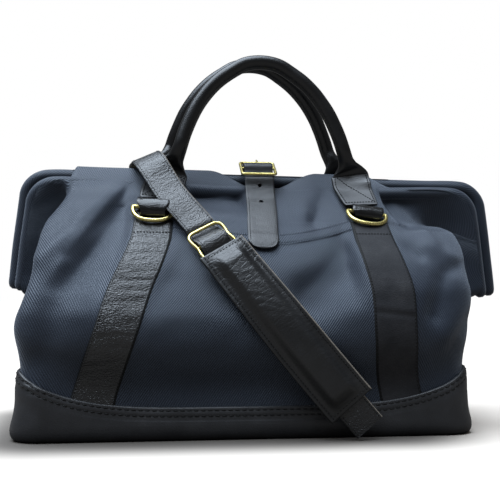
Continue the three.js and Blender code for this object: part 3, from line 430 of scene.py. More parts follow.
def loft(sections, closed=False):
    """A solid through closed sections, capped at its ends unless it closes."""
    count, sides = sections.shape[:2]
    index = np.arange(count * sides).reshape(count, sides)
    here, there = (index, np.roll(index, -1, axis=0)) if closed else (index[:-1], index[1:])
    faces = np.stack([here, np.roll(here, -1, 1), np.roll(there, -1, 1), there], axis=-1).reshape(-1, 4)
    middle = sections.mean(axis=1)
    along = lengths(np.concatenate([middle, middle[:1]])) * MM
    girth = lengths(np.concatenate([sections[count // 2], sections[count // 2, :1]])) * MM
    s, k = np.meshgrid(np.arange(len(here)), np.arange(sides), indexing="ij")
    u = np.stack([girth[k], girth[k + 1], girth[k + 1], girth[k]], axis=-1)
    v = np.stack([along[s], along[s], along[s + 1], along[s + 1]], axis=-1)
    uv = np.stack([u, v], axis=-1).reshape(-1, 2)
    faces = faces.tolist()
    if not closed:
        faces += [index[0][::-1].tolist(), index[-1].tolist()]
        uv = np.concatenate([uv, np.zeros((2 * sides, 2))])
    return {"points": sections.reshape(-1, 3), "faces": faces, "uv": uv, "paint": np.zeros(len(faces), int)}


def joined(*shapes):
    starts = np.cumsum([0] + [len(shape["points"]) for shape in shapes])
    whole = {key: np.concatenate([shape[key] for shape in shapes]) for key in ("points", "uv", "paint")}
    moved = [[[int(n) + i for i in face] for face in shape["faces"]] for n, shape in zip(starts, shapes)]
    return {**whole, "faces": sum(moved, [])}


def skin(grid, normals, low, high, raw=(), worn=(0, 0)):
    """A sheet from low to high above a grid of seats."""
    low, high = (np.broadcast_to(h, grid.shape[:2])[..., None] for h in (low, high))
    return sheet(grid + normals * high, grid + normals * low, raw, worn)


def frames(path, facing, closed=False):
    """The ways across and out of a path at each of its points, where it faces as given."""
    if closed:
        tangent = unit(np.roll(path, -1, axis=0) - np.roll(path, 1, axis=0))
    else:
        tangent = unit(np.gradient(path, axis=0))
    across = unit(np.cross(tangent, facing))
    return across, unit(np.cross(across, tangent))


def sweep(path, normal, radius, sides, closed=False):
    """A round bar along a path, with one direction of its sections held to the given normal."""
    across, out = frames(path, normal, closed)
    angle = (np.arange(sides) / sides * 2 * np.pi)[None, :, None]
    radius = np.broadcast_to(radius, len(path))[:, None, None]
    spread = across[:, None] * np.cos(angle) + out[:, None] * np.sin(angle)
    return loft(path[:, None] + radius * spread, closed)


def strip_grid(points, normals, widths, shares):
    """A grid across a strip with a middle line, a facing direction and a width at each point."""
    across, out = frames(points, normals)
    spread = np.broadcast_to(widths, len(points))[:, None, None] / 2 * shares[None, :, None]
    grid = points[:, None] + across[:, None] * spread
    return grid, np.broadcast_to(out[:, None], grid.shape)


def band(origin, x, y, z, path, half):
    """A grid across a band that runs along a path in the plane of y and z, and the way it faces."""
    tangent = unit(np.gradient(path, axis=0))
    facing = np.stack([tangent[:, 1], -tangent[:, 0]], axis=1)
    grid = in_frame(origin, y, z, path)[:, None] + x * half[..., None]
    normals = in_frame(vec(0, 0, 0), y, z, facing)
    return grid, np.broadcast_to(normals[:, None], grid.shape)


def in_frame(origin, x, y, plan):
    return origin + plan[:, :1] * x + plan[:, 1:] * y


def edge_distance(shares, widths):
    """How far each place across a strip is from its nearer side."""
    return (1 - np.abs(shares))[None] * np.reshape(widths, (-1, 1)) / 2


def rounded_loop(half_x, half_y, radius, steps):
    """Points round a box with rounded corners, with the direction out of it at each."""
    loop, out = [], []
    for x, y, start in ((1, -1, -90), (1, 1, 0), (-1, 1, 90), (-1, -1, 180)):
        for degrees in np.linspace(start, start + 90, steps):
            turn = vec(math.cos(math.radians(degrees)), math.sin(math.radians(degrees)))
            loop.append(vec(x * (half_x - radius), y * (half_y - radius)) + radius * turn)
            out.append(turn)
    return np.array(loop), np.array(out)


def softened(path, reach):
    """A closed, evenly spaced path with its corners eased."""
    count = max(int(reach / np.linalg.norm(path[1] - path[0])), 1)
    shifts = np.arange(-2 * count, 2 * count + 1)
    weights = bell(shifts, count)
    rolled = [w * np.roll(path, k, axis=0) for k, w in zip(shifts, weights)]
    return np.sum(rolled, axis=0) / weights.sum()


# Pieces

def make_mesh(name, shape, materials):
    mesh = bpy.data.meshes.new(name)
    mesh.from_pydata((shape["points"] * MM).tolist(), [], shape["faces"])
    layer = mesh.uv_layers.new(name="UVMap")
    layer.data.foreach_set("uv", shape["uv"].astype(np.float32).ravel())
    mesh.polygons.foreach_set("material_index", shape["paint"].astype(np.int32))
    for material in materials:
        mesh.materials.append(material)
    turned = bmesh.new()
    turned.from_mesh(mesh)
    bmesh.ops.recalc_face_normals(turned, faces=turned.faces)
    turned.to_mesh(mesh)
    turned.free()
    mesh.shade_smooth()
    mesh.set_sharp_from_angle(angle=math.radians(50))
    return mesh


def show(name, data):
    piece = bpy.data.objects.new(name, data)
    bpy.context.collection.objects.link(piece)
    return piece


def settle(piece, slot, *nodes, body="bag"):
    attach(piece, body)
    if nodes:
        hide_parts(*nodes)
    return piece


def bake(piece):
    """Turns a piece with its modifiers into a plain mesh."""
    graph = bpy.context.evaluated_depsgraph_get()
    mesh = bpy.data.meshes.new_from_object(piece.evaluated_get(graph), depsgraph=graph)
    piece.modifiers.clear()
    piece.data = mesh


def dress(cad_node, shape, materials, slot, body="bag", cutters=()):
    """The piece that stands for a CAD node, with holes where the cutters are."""
    piece = show(f"{cad_node}_dressed", make_mesh(cad_node, shape, materials))
    for cutter in cutters:
        tool = show("cutter", make_mesh("cutter", cutter, materials[:1]))
        cut = piece.modifiers.new("cut", "BOOLEAN")
        cut.operation = "DIFFERENCE"
        cut.solver = "EXACT"
        cut.object = tool
        bake(piece)
        bpy.data.objects.remove(tool)
    return settle(piece, slot, cad_node, body=body)


# Materials

def new_material(name, **values):
    material = bpy.data.materials.new(name)
    material.use_nodes = True
    shader = material.node_tree.nodes["Principled BSDF"]
    for socket, value in values.items():
        shader.inputs[socket.replace("_", " ")].default_value = value
    return material, material.node_tree, shader


def node(tree, kind, inputs=None, **settings):
    made = tree.nodes.new(kind)
    for name, value in settings.items():
        setattr(made, name, value)
    for socket, source in (inputs or {}).items():
        if isinstance(source, bpy.types.NodeSocket):
            tree.links.new(source, made.inputs[socket])
        else:
            made.inputs[socket].default_value = source
    return made


def math_node(tree, operation, a, b):
    return node(tree, "ShaderNodeMath", {0: a, 1: b}, operation=operation).outputs[0]


def shades(tree, factor, stops):
    """A colour ramp through stops of (place, colour)."""
    made = node(tree, "ShaderNodeValToRGB", {0: factor})
    bands = made.color_ramp
    while len(bands.elements) < len(stops):
        bands.elements.new(0.5)
    for element, (place, colour) in zip(bands.elements, stops):
        element.position = place
        element.color = (*colour, 1)
    return made.outputs["Color"]


def level(tree, factor, low, high, to_low, to_high):
    inputs = {"Value": factor, "From Min": low, "From Max": high, "To Min": to_low, "To Max": to_high}
    return node(tree, "ShaderNodeMapRange", inputs).outputs["Result"]


def bump(tree, height, strength, distance, normal=None):
    inputs = {"Height": height, "Strength": strength, "Distance": distance}
    if normal:
        inputs["Normal"] = normal
    return node(tree, "ShaderNodeBump", inputs).outputs["Normal"]


def speckle(tree, place, scale, detail):
    inputs = {"Vector": place, "Scale": scale, "Detail": detail}
    return node(tree, "ShaderNodeTexNoise", inputs).outputs["Fac"]


def times(tree, source, factor):
    return math_node(tree, "MULTIPLY", source, factor)


def plus(tree, first, second, share):
    """The first source with a share of the second."""
    return math_node(tree, "ADD", first, times(tree, second, share))


def object_place(tree):
    return node(tree, "ShaderNodeTexCoord").outputs["Object"]


def feed(tree, shader, **sources):
    for socket, source in sources.items():
        tree.links.new(source, shader.inputs[socket.replace("_", " ")])


def twill_canvas():
    material, tree, shader = new_material(
        "navy_twill", Sheen_Weight=0.3, Sheen_Roughness=0.4, Sheen_Tint=(0.80, 0.88, 1.0, 1),
        Specular_IOR_Level=0.5, Specular_Tint=(0.80, 0.89, 1.0, 1))
    coords = node(tree, "ShaderNodeTexCoord").outputs
    turn = (0, 0, math.radians(WALE_TURN))
    turned = node(tree, "ShaderNodeMapping", {"Vector": coords["UV"], "Rotation": turn})
    wale = node(tree, "ShaderNodeTexWave", {
        "Vector": turned.outputs["Vector"], "Scale": 0.314 / WALE_PITCH, "Distortion": 0.8, "Detail": 2,
        "Detail Scale": 2.2})
    yarn = speckle(tree, coords["UV"], 950, 2)
    cloud = speckle(tree, coords["Object"], 14, 4)
    weave = plus(tree, times(tree, wale.outputs["Fac"], 0.7), yarn, 0.55)
    colour = shades(tree, plus(tree, weave, cloud, 0.35), [
        (0.35, (0.010, 0.013, 0.021)), (0.75, (0.017, 0.022, 0.034)), (1.0, (0.027, 0.034, 0.050))])
    feed(tree, shader, Base_Color=colour, Roughness=level(tree, yarn, 0.3, 0.7, 0.42, 0.58),
         Normal=bump(tree, weave, 0.8, 0.0006))
    return material


def leather(name, tint, roughness, grain, grain_height, creases=None, gloss=0.5, crinkle=0.0):
    """Black leather: pebbled grain of the given size, with fine creases across the strap where it has any.

    Creases are a height and a scale each way. Crinkles cross each other, over the first part of the piece.
    """
    material, tree, shader = new_material(f"{name}_black_leather", Specular_IOR_Level=gloss)
    coords = node(tree, "ShaderNodeTexCoord").outputs
    uv, place = coords["UV"], coords["Object"]
    pebble = node(tree, "ShaderNodeTexVoronoi", {"Vector": place, "Scale": 1 / grain, "Randomness": 1},
                  feature="SMOOTH_F1")
    pore = speckle(tree, place, 1.8 / grain, 4)
    worn = plus(tree, times(tree, speckle(tree, place, 38, 5), 0.6), pore, 0.4)
    colour = shades(tree, worn, [
        (0.3, (tint * 0.55, tint * 0.56, tint * 0.62)), (0.55, (tint, tint, tint * 1.08)),
        (0.8, (tint * 2.1, tint * 2.05, tint * 2.1))])
    normal = bump(tree, plus(tree, pebble.outputs["Distance"], pore, 0.5), 0.6, grain_height)
    if creases:
        height, *scale = creases
        stretched = node(tree, "ShaderNodeMapping", {"Vector": uv, "Scale": (*scale, 1)})
        lines = node(tree, "ShaderNodeTexNoise", {
            "Vector": stretched.outputs["Vector"], "Scale": 1, "Detail": 3, "Distortion": 0.6})
        normal = bump(tree, level(tree, lines.outputs["Fac"], 0.3, 0.7, 0, 1), 0.7, height, normal)
    if crinkle:
        stretched = node(tree, "ShaderNodeMapping", {"Vector": uv, "Scale": (120, 170, 1)})
        cells = node(tree, "ShaderNodeTexVoronoi", {
            "Vector": stretched.outputs["Vector"], "Scale": 1, "Randomness": 1}, feature="DISTANCE_TO_EDGE")
        down = node(tree, "ShaderNodeSeparateXYZ", {0: uv}).outputs["Y"]
        fade = level(tree, down, 0.03, 0.15, 1, 0)
        height = times(tree, level(tree, cells.outputs["Distance"], 0, 0.12, 0, 1), fade)
        normal = bump(tree, height, 0.8, crinkle, normal)
    rough = level(tree, worn, 0.3, 0.7, roughness * 0.8, roughness * 1.25)
    feed(tree, shader, Base_Color=colour, Roughness=rough, Normal=normal)
    return material


def satin_brass():
    material, tree, shader = new_material("satin_brass", Metallic=1.0)
    place = object_place(tree)
    cloud = speckle(tree, place, 160, 4)
    scuff = speckle(tree, place, 900, 3)
    colour = shades(tree, cloud, [(0.3, (0.64, 0.52, 0.17)), (0.7, (0.86, 0.74, 0.31))])
    feed(tree, shader, Base_Color=colour, Roughness=level(tree, scuff, 0.3, 0.7, 0.22, 0.42),
         Normal=bump(tree, scuff, 0.15, 0.0002))
    return material


def plain_fibre(name, dark, light, roughness, scale):
    """Thread, or the cut edge of leather: a speckled matt colour."""
    material, tree, shader = new_material(name, Roughness=roughness, Specular_IOR_Level=0.3)
    speck = speckle(tree, object_place(tree), scale, 3)
    colour = shades(tree, speck, [(0.35, dark), (0.65, light)])
    feed(tree, shader, Base_Color=colour, Normal=bump(tree, speck, 0.4, 0.0002))
    return material


TWILL = twill_canvas()
SMOOTH_LEATHER = leather("smooth", 0.006, 0.34, 0.0011, 0.0002)
BASE_LEATHER = leather("base", 0.03, 0.42, 0.0012, 0.0002)
# Strap leathers: the dull one is a painted shade of the glossy pebbled one, duller and darker under the light
# as if lit less; its smoother grain is real
SHADED_STRAP_LEATHER = leather("shaded_strap", 0.037, 0.44, 0.0012, 0.0004, gloss=0.08)
PEBBLED_LEATHER = leather("pebbled", 0.009, 0.38, 0.0014, 0.0009, (0.0004, 210, 620), gloss=0.8)
GRAINED_LEATHER = leather("grained", 0.012, 0.42, 0.0009, 0.0004, gloss=0.62)
# The tabs' leather is the grip's made lighter and glossier: painted light for the light falling on the
# upturned tabs
TAB_LEATHER_FACE = leather("tab", 0.03, 0.48, 0.0011, 0.0003, gloss=1.0)
CREASED_LEATHER = leather("creased", 0.009, 0.38, 0.0014, 0.0008, (0.0004, 120, 420), gloss=0.8)
GLOSSY_LEATHER = leather("glossy", 0.005, 0.23, 0.0014, 0.0002, (0.0003, 80, 300))
CRINKLED_LEATHER = leather("crinkled", 0.007, 0.43, 0.0014, 0.0002, (0.0002, 60, 300), 0.66, crinkle=0.0002)
BRASS = satin_brass()
BLACK_THREAD = plain_fibre("black_thread", (0.003, 0.003, 0.003), (0.012, 0.012, 0.012), 0.6, 2500)
NAVY_THREAD = plain_fibre("navy_thread", (0.012, 0.016, 0.026), (0.035, 0.045, 0.066), 0.7, 2500)
# Dark leather edge; beside the wall straps' edges it is also painted shade
DARK_EDGE = plain_fibre("dark_leather_edge", (0.002, 0.002, 0.002), (0.006, 0.006, 0.006), 0.7, 1400)
# Pale cut edge of the leather, also a painted highlight along the shoulder strap's and the pad's edge
RAW_EDGE = plain_fibre("raw_leather_edge", (0.10, 0.085, 0.07), (0.30, 0.26, 0.215), 0.8, 1400)

black_lines, tab_lines, base_lines, navy_lines = [], [], [], []


def stitch(lines, points, normals, height=0.25):
    """Notes a line of stitches that lies on a surface."""
    normals = unit(np.broadcast_to(normals, np.shape(points)))
    lines.append((np.asarray(points) + normals * height, normals))


def across_line(grid, place):
    """A line along a grid at a fractional column."""
    k = int(min(max(place, 0), grid.shape[1] - 1.001))
    return grid[:, k] + (place - k) * (grid[:, k + 1] - grid[:, k])


def along_line(grid, place):
    return across_line(grid.transpose(1, 0, 2), place)


def side_stitches(outer, normals, shares, inset, rows):
    """Stitches along both sides of a strip, at a share of its half width from the edge."""
    for side in (-1, 1):
        column = np.interp(side * (1 - inset), shares, np.arange(len(shares)))
        stitch(black_lines, across_line(outer, column)[rows], across_line(normals, column)[rows])


# Canvas walls

def on_frame(x, y, z):
    return vec(x + LEAN, y, z - x * FALL)


def body_lean(z):
    return LEAN * ramp(z, LEAN_FROM, LEAN_TO)


def strap_half(z):
    return np.interp(z, [row.z for row in STRAP_ROWS], [row.half for row in STRAP_ROWS])


def base_edge(x):
    return BASE_LOW + BASE_RISE * np.minimum(np.abs(x) * 2 / BASE_LENGTH, 1) ** BASE_RISE_POWER


def rim_path(side):
    out, up, sag = (RIM_STEP_OUT, RIM_STEP_UP, 0) if side == BACK else (0, 0, RIM_SAG)
    leg_top, leg_foot, top = RIM_LEG_TOP + out, RIM_LEG_FOOT + out, RIM_TOP + up
    half = [(leg_foot, RIM_FOOT_Z + 0.2 * up)]
    half.append(((leg_top + leg_foot) / 2, (top - RIM_CORNER + RIM_FOOT_Z + up) / 2))
    for angle in np.linspace(0, math.pi / 2, 6):
        half.append((leg_top - RIM_CORNER * (1 - math.cos(angle)), top - RIM_CORNER * (1 - math.sin(angle))))
    for share in (0.75, 0.5, 0.25):
        half.append(((leg_top - RIM_CORNER) * share, top - sag * math.cos(share * math.pi / 2) ** 2))
    ears = [[on_frame(end * (x + ear * ramp(x, 90, 220)), side * RIM_Y, z) for x, z in half]
            for end, ear in zip((LEFT, RIGHT), EAR_OUT[side])]
    left, right = ears[0], ears[1][::-1]
    points = left + [on_frame(0, side * RIM_Y, top - sag)] + right
    return even(catmull(points, np.linspace(0, 1, 900)), 330)


def wall_controls(row, side):
    step_up, step_out = (RIM_STEP_UP, RIM_STEP_OUT) if side == BACK else (0, 0)
    z = row.z + step_up * ramp(row.z, 200, 265)
    fall = FALL * ramp(row.z, 150, 260)
    hold = LEAN * max(row.rim, ramp(row.z, 110, 150))
    rim_x = row.edge_x + step_out * row.rim
    rim_z = row.edge_z + step_up * row.rim
    tuck_x = row.tuck_x + step_out * row.rim * ramp(row.z, 245, 270)
    level_off = ramp(row.z, 240, 270) if side == BACK else 0
    mid_z = row.mid_z + (row.z - row.mid_z) * level_off + z - row.z
    ear_left, ear_right = (rim_x + ear * row.rim for ear in EAR_OUT[side])
    full = PANEL_FULL * bell(row.z - 160, 36) if side == FRONT else 0
    places = [
        (-ear_left, row.edge_y, rim_z, hold),
        (-tuck_x, row.tuck_y, z, hold),
        (-row.fold_left, row.fold_y, z, 0),
        (0, row.mid_y, mid_z, body_lean(row.mid_z)),
        (row.fold_right, row.fold_y + full, z, 0),
        (tuck_x, row.tuck_y, z, hold),
        (ear_right, row.edge_y, rim_z, hold),
    ]
    return [(x + lean, side * y, height - x * fall) for x, y, height, lean in places]


def fold_depth(folds, x, z):
    depth = np.zeros_like(x)
    for fold in folds:
        run_x, run_z = fold.to_x - fold.from_x, fold.to_z - fold.from_z
        share = ((x - fold.from_x) * run_x + (z - fold.from_z) * run_z) / (run_x**2 + run_z**2)
        held = np.clip(share, 0, 1)
        away = np.hypot(x - fold.from_x - held * run_x, z - fold.from_z - held * run_z)
        depth += fold.depth * bell(away, fold.width)
    return depth


def lap_depth(laps, x, z):
    depth = np.zeros_like(x)
    for lap in laps:
        run = vec(lap.to_x - lap.from_x, lap.to_z - lap.from_z)
        length = np.linalg.norm(run)
        dx, dz = run / length
        along = ((x - lap.from_x) * dx + (z - lap.from_z) * dz) / length
        away = (z - lap.from_z) * dx - (x - lap.from_x) * dz
        drop = lap.drop
        hollow = ramp(away, -0.3 * drop, 0.7 * drop) * (1 - ramp(away, 0.8 * drop, lap.reach))
        held = ramp(along, -0.3, 0.0) * (1 - ramp(along, 0.75, 1.2))
        held = held * ramp(z, lap.ledge - 6, lap.ledge + 3)
        depth += lap.depth * hollow * held
    return depth


def into_base(grid):
    """Brings the foot of a wall out to the inside of the base, so that it rises from the base's edge."""
    half = vec(BASE_LENGTH / 2 - BASE_TUCK, BASE_DEPTH / 2 - BASE_TUCK)
    radius = BASE_CORNER - BASE_TUCK
    plan = grid[..., :2]
    q = np.abs(plan) - (half - radius)
    past = np.maximum(q, 0)
    corner = np.linalg.norm(past, axis=-1)
    gap = radius - corner - np.minimum(np.max(q, axis=-1), 0)
    longer = np.eye(2)[np.argmax(q, axis=-1)]
    way = np.where(corner[..., None] > 1e-6, unit(past), longer) * np.sign(plan)
    edge = base_edge(plan[..., 0])
    grid[..., :2] += way * (gap * (1 - ramp(grid[..., 2], edge - 6, edge + 46)))[..., None]


def wall_grid(side, rows, column_steps):
    """The outside of a wall, with its folds, the way it faces, and the same wall without folds."""
    count = len(column_steps)
    shares = np.concatenate([k + np.arange(n) / n for k, n in enumerate(column_steps)] + [[count]]) / count
    down = np.linspace(0, 1, rows + 1)[:, None]
    traces = catmull([wall_controls(row, side) for row in WALL_ROWS], down[:, 0])
    grid = catmull(traces.transpose(1, 0, 2), shares).transpose(1, 0, 2)
    plain = grid.copy()
    x, z = plain[..., 0], plain[..., 2]
    to_strap = np.minimum(*(np.abs(x - end * strap_half(z) - body_lean(z)) for end in (LEFT, RIGHT)))
    from_end = np.minimum(shares, 1 - shares)
    inner = ramp(from_end, 0.1, 0.34)
    pressed = ramp(to_strap, 22, 40) * fold_depth(FOLDS[side], x, z)
    pressed = pressed + ramp(to_strap, 21, 31) * lap_depth(LAPS[side], x, z)
    grid[..., 1] -= side * inner * ramp(down, 0, 0.06) * pressed
    into_base(grid)
    normals = grid_normals(grid, (0, side, 0))
    loose = ramp(to_strap, 22, 36) * ramp(down, 0.01, 0.08) * ramp(from_end, 0.0, 0.05)
    rumple = noise(x / 64, z / 48, 3 + side) + 0.5 * noise(x / 25, z / 21, 9 + side)
    relief = loose * (rumple - inner * fold_depth(CREASES[side], x, z)) * ramp(z, 30, 90)
    grid += normals * relief[..., None]
    return grid, grid_normals(grid, (0, side, 0)), plain


def on_bar(side, x):
    """Height of a mouth frame bar's middle line at x, along the top of the mouth."""
    path = rim_path(side)
    return np.interp(x, path[:, 0], path[:, 2])


def over_bar(grid, side):
    """Rows that carry a wall on over its bar, and at the front up to the back bar where the mouth is shut."""
    x = grid[0, :, 0]
    own, far = on_bar(side, x), on_bar(BACK, x)
    shut = ramp(x, *SHUT_LEFT) * (1 - ramp(x, *SHUT_RIGHT)) * ramp(np.abs(x - MOUTH_GAP_X), *MOUTH_GAP)
    shut = shut if side == FRONT else 0 * x
    covered = ramp(x, *COVER_LEFT) * (1 - ramp(x, *COVER_RIGHT))
    middle = np.stack([x, side * (WALL_Y - 3.5 * shut), own + 10.5 + 0.5 * shut], axis=1)
    top_y = side * (RIM_Y - 4.5) * (1 - shut) + 5 * shut
    top = np.stack([x, top_y, (own + 7) * (1 - shut) + (far + 11) * shut], axis=1)
    short = grid[0] + vec(0, -0.15 * side, 0.3)
    middle, top = (short + (point - short) * covered[:, None] for point in (middle, top))
    t = np.linspace(1, 0, LIP_ROWS + 1)[:-1, None, None]
    cloth = np.concatenate([(1 - t) ** 2 * grid[0] + 2 * t * (1 - t) * middle + t**2 * top, grid])
    bend = slice(1, EASED_ROWS)
    for _ in range(EASE_ROUNDS):
        cloth[bend] = 0.5 * cloth[bend] + 0.25 * (cloth[:EASED_ROWS - 1] + cloth[2:EASED_ROWS + 1])
    return cloth


def dented(cloth):
    """Presses the dents under the mouth into the front, and keeps the cloth outside its bar."""
    press = fold_depth(DENTS, cloth[..., 0], cloth[..., 2])[..., None]
    cloth[..., 1:2] += press
    bar = np.stack([cloth[..., 0], np.full(cloth.shape[:2], -RIM_Y), on_bar(FRONT, cloth[..., 0])], axis=-1)
    off = cloth - bar
    away = np.linalg.norm(off, axis=-1, keepdims=True)
    clear = RIM_ROLL + 1
    inside = (away < clear) & (press > 0.2) & (off[..., 1:2] < 0)
    return np.where(inside, bar + off / np.maximum(away, 1e-6) * clear, cloth)


walls = {}
for side, name, steps in ((FRONT, "canvas_front", (156, [18, 26, 76, 76, 26, 18])),
                          (BACK, "canvas_back", (110, [14, 20, 50, 50, 20, 14]))):
    grid, normals, plain = wall_grid(side, *steps)
    cloth = over_bar(grid, side)
    flat = np.concatenate([cloth[:LIP_ROWS], plain])
    cloth = dented(cloth) if side == FRONT else cloth
    facing = grid_normals(cloth, (0, side, 0))
    thick = ROLLED_CANVAS + (CANVAS - ROLLED_CANVAS) * ramp(np.arange(len(cloth)), 9, 16)
    dress(name, sheet(cloth, cloth - facing * thick[:, None, None], flat=flat), [TWILL], "navy_canvas")
    rows, columns = grid.shape[:2]
    quads = grid_quads(np.arange(rows * columns).reshape(rows, columns))
    walls[side] = BVHTree.FromPolygons(grid.reshape(-1, 3).tolist(), quads.tolist())
    seam = slice(int(rows * 0.62), int(rows * 0.9))
    for column in (5, columns - 6):
        stitch(navy_lines, grid[seam, column], normals[seam, column])


def wall_hit(side, x, z):
    hit = walls[side].ray_cast(Vector((x, side * 400, z)), Vector((0, -side, 0)))[0]
    return None if hit is None else np.array(hit)


def seat(side, x, z, lift, probe=5):
    """A place on the outside of a wall, and the way the wall faces there."""
    point = wall_hit(side, x, z)

    def near(dx, dz):
        hit = wall_hit(side, x + dx, z + dz)
        return point if hit is None else hit

    normal = unit(np.cross(near(probe, 0) - near(-probe, 0), near(0, probe) - near(0, -probe)))
    if normal[1] * side < 0:
        normal = -normal
    return point + normal * lift, normal


def laid(side, places):
    """A grid of places in X and Z brought onto a wall, and the way the wall faces at each."""
    grid = np.array([[wall_hit(side, x, z) for x, z in row] for row in places])
    return grid, grid_normals(grid, (0, side, 0))


# Mouth frame bars with the cloth rolled round them

for side, name in ((FRONT, "rim_front"), (BACK, "rim_back")):
    path = rim_path(side)
    along = lengths(path)
    from_end = np.minimum(along, along[-1] - along)
    roll = RIM_ROLL * (0.35 + 0.65 * round_end(from_end, 9))
    roll = roll + 0.45 * noise(along / 34, 0.3, 21 + side) * ramp(from_end, 6, 20)
    dress(name, sweep(path, (0, 1, 0), roll, 20), [TWILL], "navy_canvas")


# Leather base

def base_rings():
    """Rings from the underside up the outside to the turned edge, then down the inside to the floor.

    With them come the way out at each point of a ring, and the first ring of the turned edge.
    """
    both = np.concatenate(rounded_loop(BASE_LENGTH / 2, BASE_DEPTH / 2, BASE_CORNER, 14), axis=1)
    both = np.concatenate([both, both[:1]])
    along = lengths(both[:, :2])
    both = sampled(along, both, np.linspace(0, along[-1], 421))[:-1]
    loop, out = both[:, :2], unit(both[:, 2:])
    edge = base_edge(loop[:, 0])
    around = lengths(loop)
    rings = [
        (0, 14), (0, 7.5), (0.3, 5.2), (1.3, 3.2), (2.8, 1.8), (4.8, 0.8), (7.2, 0.1), (11, -0.4),
        (BASE_SIDE, -0.6),
    ]
    for share in (0.15, 0.3, 0.45, 0.6, 0.75, 0.9):
        rings.append((BASE_SIDE + (edge - BASE_TURN - BASE_SIDE) * share, -0.6 + 0.5 * share))
    first = len(rings)
    turned = [
        (BASE_TURN, 0.1), (12.4, 0.1), (11, 0.0), (9.9, 0.0), (9, 0.2), (8.1, -0.3), (6.2, -0.6), (4.3, -0.3),
        (3.4, 0.0), (2.6, -0.25), (1.7, -0.3), (0.9, 0.0), (0.3, 0.6), (0, 1.4), (0.1, 2.4), (0.7, 3.2),
        (2, 3.6),
    ]
    for below, inset in turned:
        rings.append((edge - below, inset + 2.0 * (1 - below / BASE_TURN)))
    rings += [(8 + (edge - 8) * 0.5, 3.4), (8, 2.9), (3, 7.5)]
    near_corner = bell(np.abs(loop[:, 0]) - 226, 22) * bell(np.abs(loop[:, 1]) - 106, 30)
    sections = []
    for k, (z, inset) in enumerate(rings):
        z = z + np.zeros(len(loop))
        up = np.clip(z / edge, 0, 1)
        soft = ramp(z, 5, 16) * (k < len(rings) - 3)
        dent = 0.5 * noise(around / 55, z / 26, 31)
        dent = dent + 1.1 * near_corner * up * noise(around / 13 + 0.35 * z, z / 40, 37)
        plan = loop - out * (inset - soft * dent)[:, None]
        plan[:, 0] += np.sign(plan[:, 0]) * BASE_FLARE * ramp(np.abs(plan[:, 0]), 170, 239) * bell(z - 6, 18)
        sections.append(np.c_[plan, z])
    return np.array(sections), np.c_[out, np.zeros(len(out))], first


sections, base_out, first = base_rings()
dress("leather_base", loft(sections), [BASE_LEATHER], "black_leather")
for row in (first + 4, first + 8):
    line = np.concatenate([sections[row], sections[row, :1]])
    stitch(base_lines, line, np.concatenate([base_out, base_out[:1]]), 0.3)


# Sewn straps up the walls

def wall_strap(ring):
    side, end = ring.side, ring.end
    route = catmull([(row.half, row.width, row.z) for row in STRAP_ROWS], np.linspace(0, 1, 150))
    half, width, height = route.T
    z = height + (BACK_RAISE * ramp(height, 180, 226) if side == BACK else 0)
    shares = edge_shares(19)
    x = (end * half + body_lean(z))[:, None] + shares[None] * width[:, None] / 2
    grid, normals = laid(side, np.stack([x, np.broadcast_to(z[:, None], x.shape)], axis=-1))
    from_edge = edge_distance(shares, width)
    u, v = np.broadcast_arrays(shares[None] * 22, z[:, None])
    worn = 1.0 if (side, end) in ((FRONT, LEFT), (BACK, RIGHT)) else 0.15
    wrinkle = 0.38 * noise(u / 26, v / 5.5, 41 + end) + 0.25 * noise(u / 9, v / 3.2, 43 + side)
    wrinkle = wrinkle + 0.6 * np.abs(noise(u / 80, v / 9, 47 + end)) - 0.2
    slant = v - STRAP_CREASE_Z + 0.12 * u
    crease = 0.9 * bell(slant, 2.6) - 0.5 * bell(slant - 6, 5) if worn < 1 else 0
    relief = (worn * wrinkle * ramp(v, 34, 80) - crease) * ramp(from_edge, 0.5, 5)
    pressed = 0.3 * bell(from_edge - STRAP_SEAM, 0.8)
    high = LAY + LEATHER + relief - pressed - edge_drop(from_edge, 0.9, 1.2)
    outer = grid + normals * high[..., None]
    side_stitches(outer, normals, shares, STRAP_SEAM / STRAP_REACH, slice(10, -4))
    crossing = int(np.interp(STRAP_CROSSING_Z, height, np.arange(len(height))))
    stitch(tab_lines, outer[crossing, 2:-2], normals[crossing, 2:-2])
    # The front left and back right straps take the glossy leather, the other two the dull one: a painted
    # shade, as if those two were lit less; worn also sets the real wrinkles
    kind = PEBBLED_LEATHER if worn == 1 else SHADED_STRAP_LEATHER
    # The face's outer columns take the dark edge colour as well as the cut sides: partly the edge's own
    # colour, partly painted shade along the lifted edge
    edges = (2, 1) if end == RIGHT else (1, 2)
    shape = skin(grid, normals, LAY * 0.5, high, raw=("left", "right"), worn=edges)
    dress(f"strap_{ring.name}", shape, [kind, DARK_EDGE], "black_leather")


# Ring loops and D-rings

def ring_axes(ring):
    bar, bow = unit(ring.bar), unit(ring.bow)
    return vec(*ring.place), bar, bow, np.cross(bar, bow)


